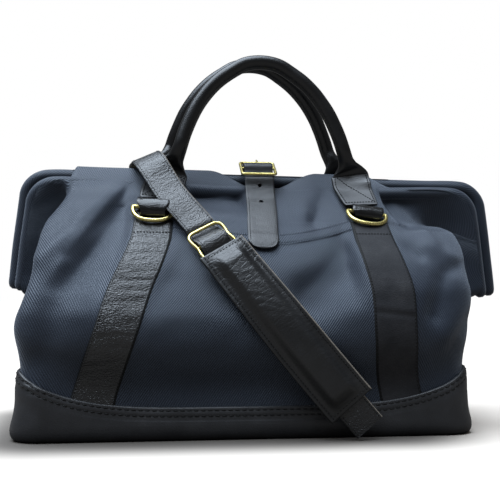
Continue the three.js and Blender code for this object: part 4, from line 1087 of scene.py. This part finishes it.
def ring_loop(ring):
    origin, x, bow, out = ring_axes(ring)
    stand = math.radians(ring.stand)
    y = bow * math.cos(stand) - out * math.sin(stand)
    z = bow * math.sin(stand) + out * math.cos(stand)
    path = np.array(LOOP_PATH, float)
    bulge = (path[:, :1] < -5) & (path[:, :1] > -13) & (path[:, 1:] > 0)
    grown = np.where((path > 0) | bulge, ring.puff, 1)
    path = even(catmull(path * grown, np.linspace(0, 1, 400)), 70)
    shares = edge_shares(17)
    half = LOOP_WIDTH / 2 - 4.2 * ramp(path[:, 0], 5, 15)
    grid, normals = band(origin, x, y, z, path, half[:, None] * shares)
    from_edge = edge_distance(shares, 2 * half)
    along = np.broadcast_to(lengths(path)[:, None], grid.shape[:2])
    rumple = 0.22 * noise(shares[None] * 3.1, along / 6, 53 + ring.end) * ramp(along, 12, 20)
    high = LOOP_LEATHER / 2 + rumple - edge_drop(from_edge, 0.7, 1.1)
    low = -LOOP_LEATHER / 2 + edge_drop(from_edge, 0.3, 0.8)
    shape = skin(grid, normals, low, high)
    dress(f"ring_loop_{ring.name}", shape, [GLOSSY_LEATHER], "black_leather")


def d_ring(ring):
    origin, x, bow, out = ring_axes(ring)
    angle = np.linspace(0, math.pi, 300)
    bend_x = np.sign(np.cos(angle)) * np.abs(np.cos(angle)) ** 0.8 * RING_HALF
    bend = np.stack([bend_x, RING_DROP * np.sin(angle) ** 0.8], axis=1)
    path = softened(even_loop(bend, 144), 1.6)
    shape = sweep(in_frame(origin, x, bow, path), out, RING_WIRE, 16, closed=True)
    dress(f"d_ring_{ring.name}", shape, [BRASS], "brass", body=ring.body)


for ring in RINGS:
    wall_strap(ring)
    ring_loop(ring)
    d_ring(ring)


# Slip pocket between the front straps

def pocket():
    shares = np.linspace(0, 1, 131)
    levels = np.concatenate([np.linspace(0, 0.93, 94), np.linspace(0.935, 1, 22)])
    hem = POCKET_HEM - POCKET_SAG * np.sin(shares * math.pi)
    z = POCKET_BOTTOM + (hem - POCKET_BOTTOM)[None] * levels[:, None]
    reach = strap_half(z) - POCKET_STRAP_HALF
    x = body_lean(z) + reach * (2 * shares - 1)[None]
    grid, normals = laid(FRONT, np.stack([x, z], axis=-1))
    below = hem[None] - z
    hemmed = 1.1 * (1 - ramp(below, 11.5, 12.6))
    slack = 1.1 * bell(below, 9) * np.sin(shares * math.pi)[None] ** 2
    upper, lower = POCKET_SEAMS
    pressed = 0.4 * bell(below - upper, 0.9) + 0.5 * bell(below - lower, 0.9)
    high = POCKET_LAY + POCKET_CLOTH + hemmed + slack - pressed - edge_drop(below, 0.7, 1.0)
    outer = grid + normals * high[..., None]
    middle = len(shares) // 2
    for depth in POCKET_SEAMS:
        row = np.interp(-depth, -below[:, middle], np.arange(len(levels)))
        stitch(navy_lines, along_line(outer, row), along_line(normals, row))
    dress("pocket_front", skin(grid, normals, POCKET_LAY * 0.5 + slack * 0.9, high), [TWILL], "navy_canvas")


pocket()


# Handles: a flat tab at each end, rolled into a round grip

def handle_station(side, end, row):
    sway = HANDLE_SWAY[side] * ramp(row.z, 240, 310)
    raised = BACK_RAISE + (2 - BACK_RAISE) * ramp(row.z, 285, 330) if side == BACK else 0
    place = on_frame(end * row.half, side * row.y, row.z + raised)
    place[0] += sway
    if row.lift:
        return seat(side, place[0], place[2], row.lift)
    return place, vec(0, side, 0)


def handle(side, name):
    rows = HANDLE_ROWS + HANDLE_ROWS[-2::-1]
    ends = [LEFT] * len(HANDLE_ROWS) + [RIGHT] * (len(HANDLE_ROWS) - 1)
    stations = [handle_station(side, end, row) for end, row in zip(ends, rows)]
    t = np.linspace(0, 1, 320)
    path = catmull([point for point, _ in stations], t)
    facing = catmull([normal for _, normal in stations], t)
    width, thick = np.maximum(catmull([(row.width, row.thick) for row in rows], t), 2.4).T
    along = lengths(path)
    from_end = np.minimum(along, along[-1] - along)
    across, out = frames(path, facing)
    angle = (np.arange(HANDLE_SIDES) + 0.5) / HANDLE_SIDES * 2 * np.pi
    square = 0.22 + 0.78 * ramp(thick / width, 0.06, 0.9)[:, None]

    def shaped(value):
        return np.sign(value) * np.abs(value) ** square

    rolled = ramp(thick / width, 0.55, 0.95)[:, None]
    seam = 0 if side == FRONT else math.pi
    inner = bell(np.angle(np.exp(1j * (angle - seam))), 0.16)[None]
    uneven = 0.012 * noise(along[:, None] / 17, np.sin(angle)[None] * 1.3, 61 + side)
    swell = 1 + 0.13 * rolled * inner + uneven
    end_ease = 1 - 0.05 * (1 - ramp(from_end, 0, 2))[:, None]
    a = shaped(np.cos(angle)[None]) * width[:, None] / 2 * swell * end_ease
    b = shaped(np.sin(angle)[None]) * thick[:, None] / 2 * swell
    sections = path[:, None] + across[:, None] * a[..., None] + out[:, None] * b[..., None]
    shape = loft(sections)
    # The flat tabs take the lighter tab leather, painted light for the light on them, and their sides the
    # dark edge colour
    flat = (from_end[:-1] < TAB_LENGTH)[:, None]
    sides = np.abs(np.cos(angle + np.pi / HANDLE_SIDES)) > 0.8
    shape["paint"] = np.concatenate([np.where(flat, np.where(sides, 2, 1), 0).ravel(), [2, 2]])
    dress(name, shape, [SMOOTH_LEATHER, TAB_LEATHER_FACE, DARK_EDGE], "black_leather")
    top = path + out * thick[:, None] / 2
    for half in (along < along[-1] / 2, along > along[-1] / 2):
        tab = np.flatnonzero(half & (from_end > 3.5) & (from_end < TAB_LENGTH + 1))
        if from_end[tab[0]] > from_end[tab[-1]]:
            tab = tab[::-1]
        tab_stitches(top[tab], across[tab], out[tab], width[tab] / 2 - TAB_SEAM)


def tab_stitches(top, across, out, reach):
    """A box with one diagonal on the flat of a handle's tab."""
    shares = np.linspace(-1, 1, 20)[:, None]
    for sign in (-1, 1):
        stitch(tab_lines, top + across * (sign * reach)[:, None], out)
    for k in (0, -1):
        stitch(tab_lines, top[k] + across[k] * shares * reach[k], out[k])
    slant = np.linspace(-1, 1, len(top)) * reach
    stitch(tab_lines, top + across * slant[:, None], out)


handle(FRONT, "handle_front")
handle(BACK, "handle_back")


# Closure: buckle, prong, chape and tongue

BUCKLE = vec(CLOSURE_X, -9.5, 293)
BUCKLE_Y, BUCKLE_Z = unit(vec(0, 27, 16)), unit(vec(0, -16, 27))
CHAPE_Y, CHAPE_Z = unit(vec(0, 23, 35)), unit(vec(0, -35, 23))
ALONG_X = vec(1, 0, 0)


def at_buckle(along, out):
    return BUCKLE + BUCKLE_Y * along + BUCKLE_Z * out


def wire_frame(origin, x, y, z, outline, half_bar, wire):
    """A closed wire outline with a bar across its middle."""
    loop = sweep(in_frame(origin, x, y, outline), z, wire, 16, closed=True)
    bar = np.stack([np.linspace(-half_bar, half_bar, 24), np.zeros(24)], axis=1)
    return joined(loop, sweep(in_frame(origin, x, y, bar), z, wire * 0.95, 16))


def buckle():
    half_x, half_y = BUCKLE_WIDTH / 2 - BUCKLE_WIRE, BUCKLE_LENGTH / 2 - BUCKLE_WIRE
    loop, _ = rounded_loop(half_x, half_y, 2.6, 6)
    outline = even_loop(loop, 140)
    shape = wire_frame(BUCKLE, ALONG_X, BUCKLE_Y, BUCKLE_Z, outline, half_x, BUCKLE_WIRE)
    dress("closure_buckle", shape, [BRASS], "brass")


def prong():
    turns = [math.radians(180 - degrees) for degrees in range(-150, 91, 15)]
    path = [at_buckle(PRONG_TURN * math.cos(a), PRONG_TURN * math.sin(a)) for a in turns]
    rest = BUCKLE_WIRE + 0.2 + PRONG_WIRE
    for along, out in ((FAR_BAR * 0.55, rest + 0.3), (FAR_BAR, rest), (FAR_BAR + 3.2, rest - 0.3)):
        path.append(at_buckle(along, out))
    path = even(catmull(path, np.linspace(0, 1, 300)), 70)
    thin = PRONG_WIRE * (1 - 0.55 * ramp(np.arange(70), 62, 69))
    dress("buckle_prong", sweep(path, ALONG_X, thin, 12), [BRASS], "brass")


def box(origin, x, y, z, sizes):
    corners = [(-1, -1), (1, -1), (1, 1), (-1, 1)]
    ends = [[origin + x * a * sizes[0] / 2 + y * b * sizes[1] / 2 + z * c * sizes[2] / 2 for a, b in corners]
            for c in (-1, 1)]
    return loft(np.array(ends))


def chape():
    path = [(-38.5, -2.55), (-20, -2.55), (-8, -2.7), (-3.2, -3.2)]
    for angle in np.radians(np.arange(-95, 136, 23)):
        path.append((CHAPE_TURN * math.cos(angle), CHAPE_TURN * math.sin(angle)))
    path += [(-5.5, 0.3), (-9, -1.0), (-20, -1.25), (-38.5, -1.25)]
    path = even(catmull(path, np.linspace(0, 1, 600)), 90)
    across = (edge_shares(13) * CHAPE_WIDTH / 2)[None]
    grid, normals = band(BUCKLE, ALONG_X, CHAPE_Y, CHAPE_Z, path, across)
    shape = skin(grid, normals, -CHAPE_LEATHER / 2, CHAPE_LEATHER / 2)
    slot = box(BUCKLE + CHAPE_Y * 2, ALONG_X, CHAPE_Y, CHAPE_Z, (PRONG_SLOT, 18, 16))
    dress("buckle_chape", shape, [SMOOTH_LEATHER], "black_leather", cutters=[slot])


def drill(point, normal, radius, length):
    side = unit(np.cross(normal, vec(0.3, 0.5, 0.8)))
    path = point + np.linspace(-0.5, 0.5, 3)[:, None] * normal * length
    return sweep(path, side, radius, 18)


def tongue_x(point):
    return CLOSURE_X - TONGUE_LEAN * (1 - ramp(point[2], TONGUE_TIP, 262)) * (point[1] < 0)


def tongue():
    lying = LAY + LEATHER / 2
    stations = [seat(BACK, CLOSURE_X, z, lying) for z in (226, 240, 254, 267)]
    stations.append((vec(CLOSURE_X, 22.5, 282), vec(0, 0.9, 0.45)))
    stations.append((vec(CLOSURE_X, 16, 290.5), vec(0, 0.75, 0.65)))
    for along, out, lean in BUCKLE_WEAVE:
        height = out * (TONGUE_UNDER if out < 0 else TONGUE_OVER)
        facing = vec(0, math.sin(math.radians(lean)), math.cos(math.radians(lean)))
        stations.append((at_buckle(along * FAR_BAR, height), facing))
    stations.append((vec(CLOSURE_X, -26.5, 270.5), vec(0, -0.9, 0.4)))
    for z in (255, 246, 236, 226, 216, 206, TONGUE_TIP):
        stations.append(seat(FRONT, CLOSURE_X, z, lying + 1.4 + 2.4 * (1 - ramp(z, 200, 220)), probe=8))
    points = np.array([(tongue_x(point), point[1], point[2]) for point, _ in stations])
    t = np.linspace(0, 1, 700)
    fine = catmull(points, t)
    along = lengths(fine)
    wanted = np.linspace(0, along[-1], 220)
    path = sampled(along, fine, wanted)
    facing = unit(sampled(along, catmull([(0, n[1], n[2]) for _, n in stations], t), wanted))
    to_tip = along[-1] - wanted
    width = TONGUE_WIDTH * (0.18 + 0.82 * round_end(to_tip, TONGUE_ROUND))
    shares = edge_shares(19)
    grid, normals = strip_grid(path, facing, width, shares)
    from_edge = np.maximum(np.minimum(edge_distance(shares, width), to_tip[:, None]), 0)
    u, v = np.broadcast_arrays(shares[None] * 16, wanted[:, None])
    relief = (0.14 * noise(u / 12, v / 7, 71) + 0.08 * noise(u / 5, v / 4, 73)) * ramp(from_edge, 0.5, 4)
    pressed = 0.25 * bell(from_edge - EDGE_SEAM, 0.9)
    high = LEATHER / 2 + relief - pressed - edge_drop(from_edge, 0.8, 1.1)
    low = -LEATHER / 2 + edge_drop(from_edge, 0.3, 0.8)
    hole = vec(CLOSURE_X, -30, TONGUE_HOLE_Z)
    cutters = [
        drill(*seat(FRONT, tongue_x(hole), TONGUE_HOLE_Z, 3), TONGUE_HOLE, 18),
        drill(vec(CLOSURE_X, -26.5, 271), unit(vec(0, -0.9, 0.4)), TONGUE_HOLE, 8),
        drill(at_buckle(FAR_BAR * 0.36, PRONG_TURN), BUCKLE_Y, PRONG_WIRE + 0.6, 10),
    ]
    outer = grid + normals * high[..., None]
    shown = np.flatnonzero(to_tip < TONGUE_SEWN)[:-12]
    side_stitches(outer, normals, shares, EDGE_SEAM * 2 / TONGUE_WIDTH, shown)
    shape = skin(grid, normals, low, high)
    dress("closure_strap", shape, [GRAINED_LEATHER], "black_leather", cutters=cutters)


buckle()
prong()
chape()
tongue()


# Shoulder strap, its slide and its pad

fine = np.linspace(0, 1, 3000)
route = catmull(SHOULDER_ROWS[:, :3], fine)
route_facing = catmull(SHOULDER_ROWS[:, 3:], fine)
route_along = lengths(route)
ROUTE_LENGTH = route_along[-1]
SLIDE_AT = float(np.interp(SLIDE_ROW / (len(SHOULDER_ROWS) - 1), fine, route_along))


def shoulder(distance, lift=0.0):
    """Points, facing directions and running directions of the strap's middle line."""
    points = sampled(route_along, route, distance)
    tangent = unit(np.gradient(points, distance, axis=0))
    facing = sampled(route_along, route_facing, distance)
    facing = unit(facing - tangent * np.sum(facing * tangent, axis=1, keepdims=True))
    return points + facing * np.reshape(lift, (-1, 1)), facing, tangent


def ring_turn():
    """The strap's end, turned round the bow of the back left ring."""
    origin, _, up, out = ring_axes(RINGS[2])
    out = out if out[1] > 0 else -out
    bow = origin + up * RING_DROP
    turn = [(bow - out * RING_TURN + up * 12, -out)]
    for degrees in range(180, 361, 18):
        facing = out * math.cos(math.radians(degrees)) + up * math.sin(math.radians(degrees))
        turn.append((bow + facing * RING_TURN, facing))
    turn.append((bow + out * (RING_TURN + 0.5) + up * 7, out))
    return np.array([point for point, _ in turn]), np.array([facing for _, facing in turn])


def shoulder_strap():
    run = np.linspace(0, ROUTE_LENGTH, 420)
    offset = run - SLIDE_AT
    weave = 1 - ramp(np.abs(offset), SLIDE_PITCH + 2, SLIDE_REACH)
    points, facing, _ = shoulder(run, SLIDE_WEAVE * weave * np.cos(np.pi * offset / SLIDE_PITCH))
    turn_points, turn_facing = ring_turn()
    path = np.concatenate([turn_points, points[4:]])
    facing = np.concatenate([turn_facing, facing[4:]])
    along = lengths(path)
    wanted = np.linspace(0, along[-1], 460)
    path, facing = sampled(along, path, wanted), unit(sampled(along, facing, wanted))
    start = along[len(turn_points) - 1]
    width = RING_END_WIDTH + (SHOULDER_WIDTH - RING_END_WIDTH) * ramp(wanted, start, start + 16)
    shares = edge_shares(19)
    grid, normals = strip_grid(path, facing, width, shares)
    from_edge = edge_distance(shares, width)
    u, v = np.broadcast_arrays(shares[None] * 17, wanted[:, None])
    bent = ramp(v, start + 10, start + 60)
    creases = np.abs(noise(u / 24 + 0.04 * v, v / 6, 83))
    relief = 0.1 * noise(u / 14 + 0.05 * v, v / 4, 81) + 0.3 * creases - 0.1
    relief = bent * relief * ramp(from_edge, 0.3, 3)
    pressed = 0.25 * bell(from_edge - EDGE_SEAM, 0.9)
    high = SHOULDER_LEATHER / 2 + relief - pressed - edge_drop(from_edge, 0.7, 1.0)
    low = -SHOULDER_LEATHER / 2 + edge_drop(from_edge, 0.3, 0.8)
    outer = grid + normals * high[..., None]
    shown = (wanted > start + 24) & (wanted < along[-1] - 3)
    side_stitches(outer, normals, shares, EDGE_SEAM * 2 / SHOULDER_WIDTH, shown)
    # The left edge, the end and one column of the face take the pale edge colour: the cut edge, partly a
    # painted highlight along it
    shape = skin(grid, normals, low, high, raw=("left", "end"), worn=(1, 0))
    dress("shoulder_strap", shape, [CREASED_LEATHER, RAW_EDGE], "black_leather")


def slide():
    quarter = np.array(SLIDE_QUARTER, float)
    right = np.concatenate([quarter, [(SLIDE_WAIST, 0)], quarter[::-1] * (1, -1)])
    outline = np.concatenate([right, right[::-1][1:-1] * (-1, 1)])
    outline = softened(even_loop(outline, 160), 2.0)
    points, facing, tangent = shoulder(np.array([SLIDE_AT - 1, SLIDE_AT, SLIDE_AT + 1]))
    z = facing[1]
    x = unit(np.cross(tangent[1], z))
    y = np.cross(z, x)
    shape = wire_frame(points[1], x, y, z, outline, SLIDE_WAIST, SLIDE_WIRE)
    dress("strap_slide", shape, [BRASS], "brass")


def shoulder_pad():
    start = SLIDE_AT + PAD_START
    length = ROUTE_LENGTH - PAD_TAIL - start
    run = np.linspace(0, length, 190)
    under = PAD_OVER_SLIDE + (PAD_OVER_STRAP - PAD_OVER_SLIDE) * ramp(run, 8, 30)
    points, facing, _ = shoulder(start + run, under)
    shares = edge_shares(61)
    grid, normals = strip_grid(points, facing, 2 * PAD_HALF, shares)
    side_edge = edge_distance(shares, 2 * PAD_HALF)
    end_edge = np.minimum(run, length - run)[:, None]
    from_edge = np.minimum(side_edge, end_edge)
    inside = ramp(side_edge, PAD_BORDER, PAD_BORDER + 11) * ramp(end_edge, 3, 22)
    crown = inside * (PAD_RISE + PAD_CROWN * (1 - shares[None] ** 2))
    u, v = np.broadcast_arrays(shares[None] * PAD_HALF, run[:, None])
    upper = 1 - ramp(v, length * 0.34, length * 0.62)
    skew = v + 0.4 * u + 7 * noise(u / 22, v / 22, 91)
    puffs = np.abs(noise(u / 24, skew / 10, 93)) + 0.4 * np.abs(noise(u / 13, skew / 6, 95))
    calm = 0.4 * noise(u / 34, v / 40, 97)
    relief = inside * (upper * (0.45 * puffs - 0.2) + calm)
    seam = 0.6 * bell(side_edge - PAD_BORDER + STRAP_SEAM, 1.0) * ramp(end_edge, 1, 3)
    high = PAD_LEATHER + crown + relief - seam - edge_drop(from_edge, 0.9, 1.3)
    outer = grid + normals * high[..., None]
    side_stitches(outer, normals, shares, (PAD_BORDER - STRAP_SEAM) / PAD_HALF, slice(3, -3))
    for row in (4, len(run) - 5):
        stitch(black_lines, outer[row, 12:-12], normals[row, 12:-12])
    # The left cut side and three columns of the face take the pale edge colour: the cut edge, partly a
    # painted highlight along it
    shape = skin(grid, normals, 0, high, raw=("left",), worn=(3, 0))
    pad = dress("shoulder_pad", shape, [CRINKLED_LEATHER, RAW_EDGE], "black_leather")


shoulder_strap()
slide()
shoulder_pad()


# Stitches

def stitch_tree(name, thread):
    """Threads a row of short stitches along each line of a mesh, lying on the way its points face."""
    tree = bpy.data.node_groups.new(name, "GeometryNodeTree")
    tree.interface.new_socket("Lines", in_out="INPUT", socket_type="NodeSocketGeometry")
    sockets = {}
    for label in ("Pitch", "Stitch length", "Thread"):
        socket = tree.interface.new_socket(label, in_out="INPUT", socket_type="NodeSocketFloat")
        sockets[label] = socket.identifier
    tree.interface.new_socket("Stitches", in_out="OUTPUT", socket_type="NodeSocketGeometry")
    given = node(tree, "NodeGroupInput").outputs
    curve = node(tree, "GeometryNodeMeshToCurve", {"Mesh": given["Lines"]})
    spaced = node(tree, "GeometryNodeResampleCurve", {"Curve": curve.outputs[0], "Length": given["Pitch"]},
                  mode="LENGTH")
    bead = node(tree, "GeometryNodeMeshUVSphere", {"Segments": 6, "Rings": 4, "Radius": 0.5})
    facing = node(tree, "GeometryNodeInputNamedAttribute", {"Name": "facing"}, data_type="FLOAT_VECTOR")
    tangent = node(tree, "GeometryNodeInputTangent")
    along = node(tree, "FunctionNodeAlignRotationToVector", {"Vector": tangent.outputs[0]}, axis="X")
    turn = node(tree, "FunctionNodeAlignRotationToVector",
                {"Rotation": along.outputs[0], "Vector": facing.outputs[0]}, axis="Z", pivot_axis="X")
    size = node(tree, "ShaderNodeCombineXYZ",
                {"X": given["Stitch length"], "Y": given["Thread"], "Z": given["Thread"]})
    placed = node(tree, "GeometryNodeInstanceOnPoints", {
        "Points": spaced.outputs[0], "Instance": bead.outputs[0], "Rotation": turn.outputs[0],
        "Scale": size.outputs[0]})
    smooth = node(tree, "GeometryNodeSetShadeSmooth",
                  {"Geometry": node(tree, "GeometryNodeRealizeInstances", {0: placed.outputs[0]}).outputs[0]})
    painted = node(tree, "GeometryNodeSetMaterial", {"Geometry": smooth.outputs[0], "Material": thread})
    node(tree, "NodeGroupOutput", {"Stitches": painted.outputs[0]})
    return tree, sockets


def sew(name, lines, thread, slot, pitch, long, thick):
    points = np.concatenate([line for line, _ in lines]) * MM
    facing = np.concatenate([normals for _, normals in lines])
    starts = np.cumsum([0] + [len(line) for line, _ in lines]).tolist()
    edges = [(i, i + 1) for a, b in zip(starts[:-1], starts[1:]) for i in range(a, b - 1)]
    mesh = bpy.data.meshes.new(name)
    mesh.from_pydata(points.tolist(), edges, [])
    layer = mesh.attributes.new("facing", "FLOAT_VECTOR", "POINT")
    layer.data.foreach_set("vector", facing.astype(np.float32).ravel())
    piece = show(name, mesh)
    tree, sockets = stitch_tree(name, thread)
    threaded = piece.modifiers.new("threaded", "NODES")
    threaded.node_group = tree
    for label, value in (("Pitch", pitch), ("Stitch length", long), ("Thread", thick)):
        threaded[sockets[label]] = value * MM
    bake(piece)
    settle(piece, slot)


sew("leather_stitches", black_lines, BLACK_THREAD, "black_leather", 3.6, 2.9, 0.8)
sew("base_stitches", base_lines, BLACK_THREAD, "black_leather", 7.0, 5.6, 1.4)
sew("tab_stitches", tab_lines, BLACK_THREAD, "black_leather", 3.3, 2.5, 1.25)
sew("canvas_stitches", navy_lines, NAVY_THREAD, "navy_canvas", 3.2, 2.5, 0.8)


# Floor, light and camera

def floor():
    """A wide, flat, pale floor, with a soft shadow painted on it round the bag."""
    mesh = bpy.data.meshes.new("floor")
    corners = [(x * FLOOR_REACH, y * FLOOR_REACH, 0) for x, y in ((-1, -1), (1, -1), (1, 1), (-1, 1))]
    mesh.from_pydata(corners, [], [(0, 1, 2, 3)])
    material, tree, shader = new_material("pale_floor", Roughness=0.7, Specular_IOR_Level=0.2)
    place = object_place(tree)
    cloud = speckle(tree, place, 2.5, 2)
    colour = shades(tree, cloud, [(0.3, (0.76, 0.665, 0.58)), (0.7, (0.78, 0.685, 0.595))])
    seen = node(tree, "ShaderNodeLightPath").outputs["Is Camera Ray"]
    held = level(tree, seen, 0, 1, FLOOR_RETURN, 1.0)
    # Painted shadow: the floor's colour darkens towards a box under the bag
    off = place
    for operation, other in (("SUBTRACT", SHADE_MIDDLE), ("ABSOLUTE", (0, 0, 0)), ("SUBTRACT", SHADE_HALF),
                             ("MAXIMUM", (0, 0, 0))):
        off = node(tree, "ShaderNodeVectorMath", {0: off, 1: other}, operation=operation).outputs[0]
    away = node(tree, "ShaderNodeVectorMath", {0: off}, operation="LENGTH").outputs["Value"]
    shade = node(tree, "ShaderNodeMapRange", {
        "Value": away, "From Min": 0.02, "From Max": SHADE_REACH, "To Min": SHADE_DEPTH, "To Max": 1.0},
        interpolation_type="SMOOTHERSTEP").outputs["Result"]
    held = times(tree, held, shade)
    dimmed = node(tree, "ShaderNodeVectorMath", {0: colour, "Scale": held}, operation="SCALE")
    feed(tree, shader, Base_Color=dimmed.outputs[0])
    mesh.materials.append(material)
    show("floor", mesh)


def studio():
    """One broad soft light overhead, a little in front and to the left, in a dim white room."""
    light = bpy.data.lights.new("overhead", "SUN")
    light.angle = math.radians(SOFT_ANGLE)
    light.energy = SOFT_STRENGTH
    light.color = SOFT_COLOUR
    holder = show("overhead", light)
    holder.rotation_euler = Vector(SOFT_WAY).to_track_quat("-Z", "Y").to_euler()
    world = bpy.data.worlds.new("studio")
    bpy.context.scene.world = world
    world.use_nodes = True
    tree = world.node_tree
    seen = node(tree, "ShaderNodeLightPath").outputs["Is Camera Ray"]
    strength = level(tree, seen, 0, 1, ROOM_LIGHT, 1.0)
    tree.nodes["Background"].inputs["Color"].default_value = (1, 1, 1, 1)
    tree.links.new(strength, tree.nodes["Background"].inputs["Strength"])
    bpy.context.scene.view_settings.view_transform = "Standard"


def camera():
    lens = bpy.data.cameras.new("camera")
    lens.lens = CAMERA_LENS
    lens.sensor_width = 36
    lens.clip_start = 0.05
    holder = show("camera", lens)
    yaw, pitch = math.radians(CAMERA_YAW), math.radians(CAMERA_PITCH)
    ahead = Vector((math.sin(yaw) * math.cos(pitch), math.cos(yaw) * math.cos(pitch), math.sin(pitch)))
    turn = ahead.to_track_quat("-Z", "Y").to_matrix().to_4x4()
    holder.matrix_world = Matrix.Translation(Vector(CAMERA_PLACE) * MM) @ turn
    bpy.context.scene.camera = holder


floor()
studio()
camera()
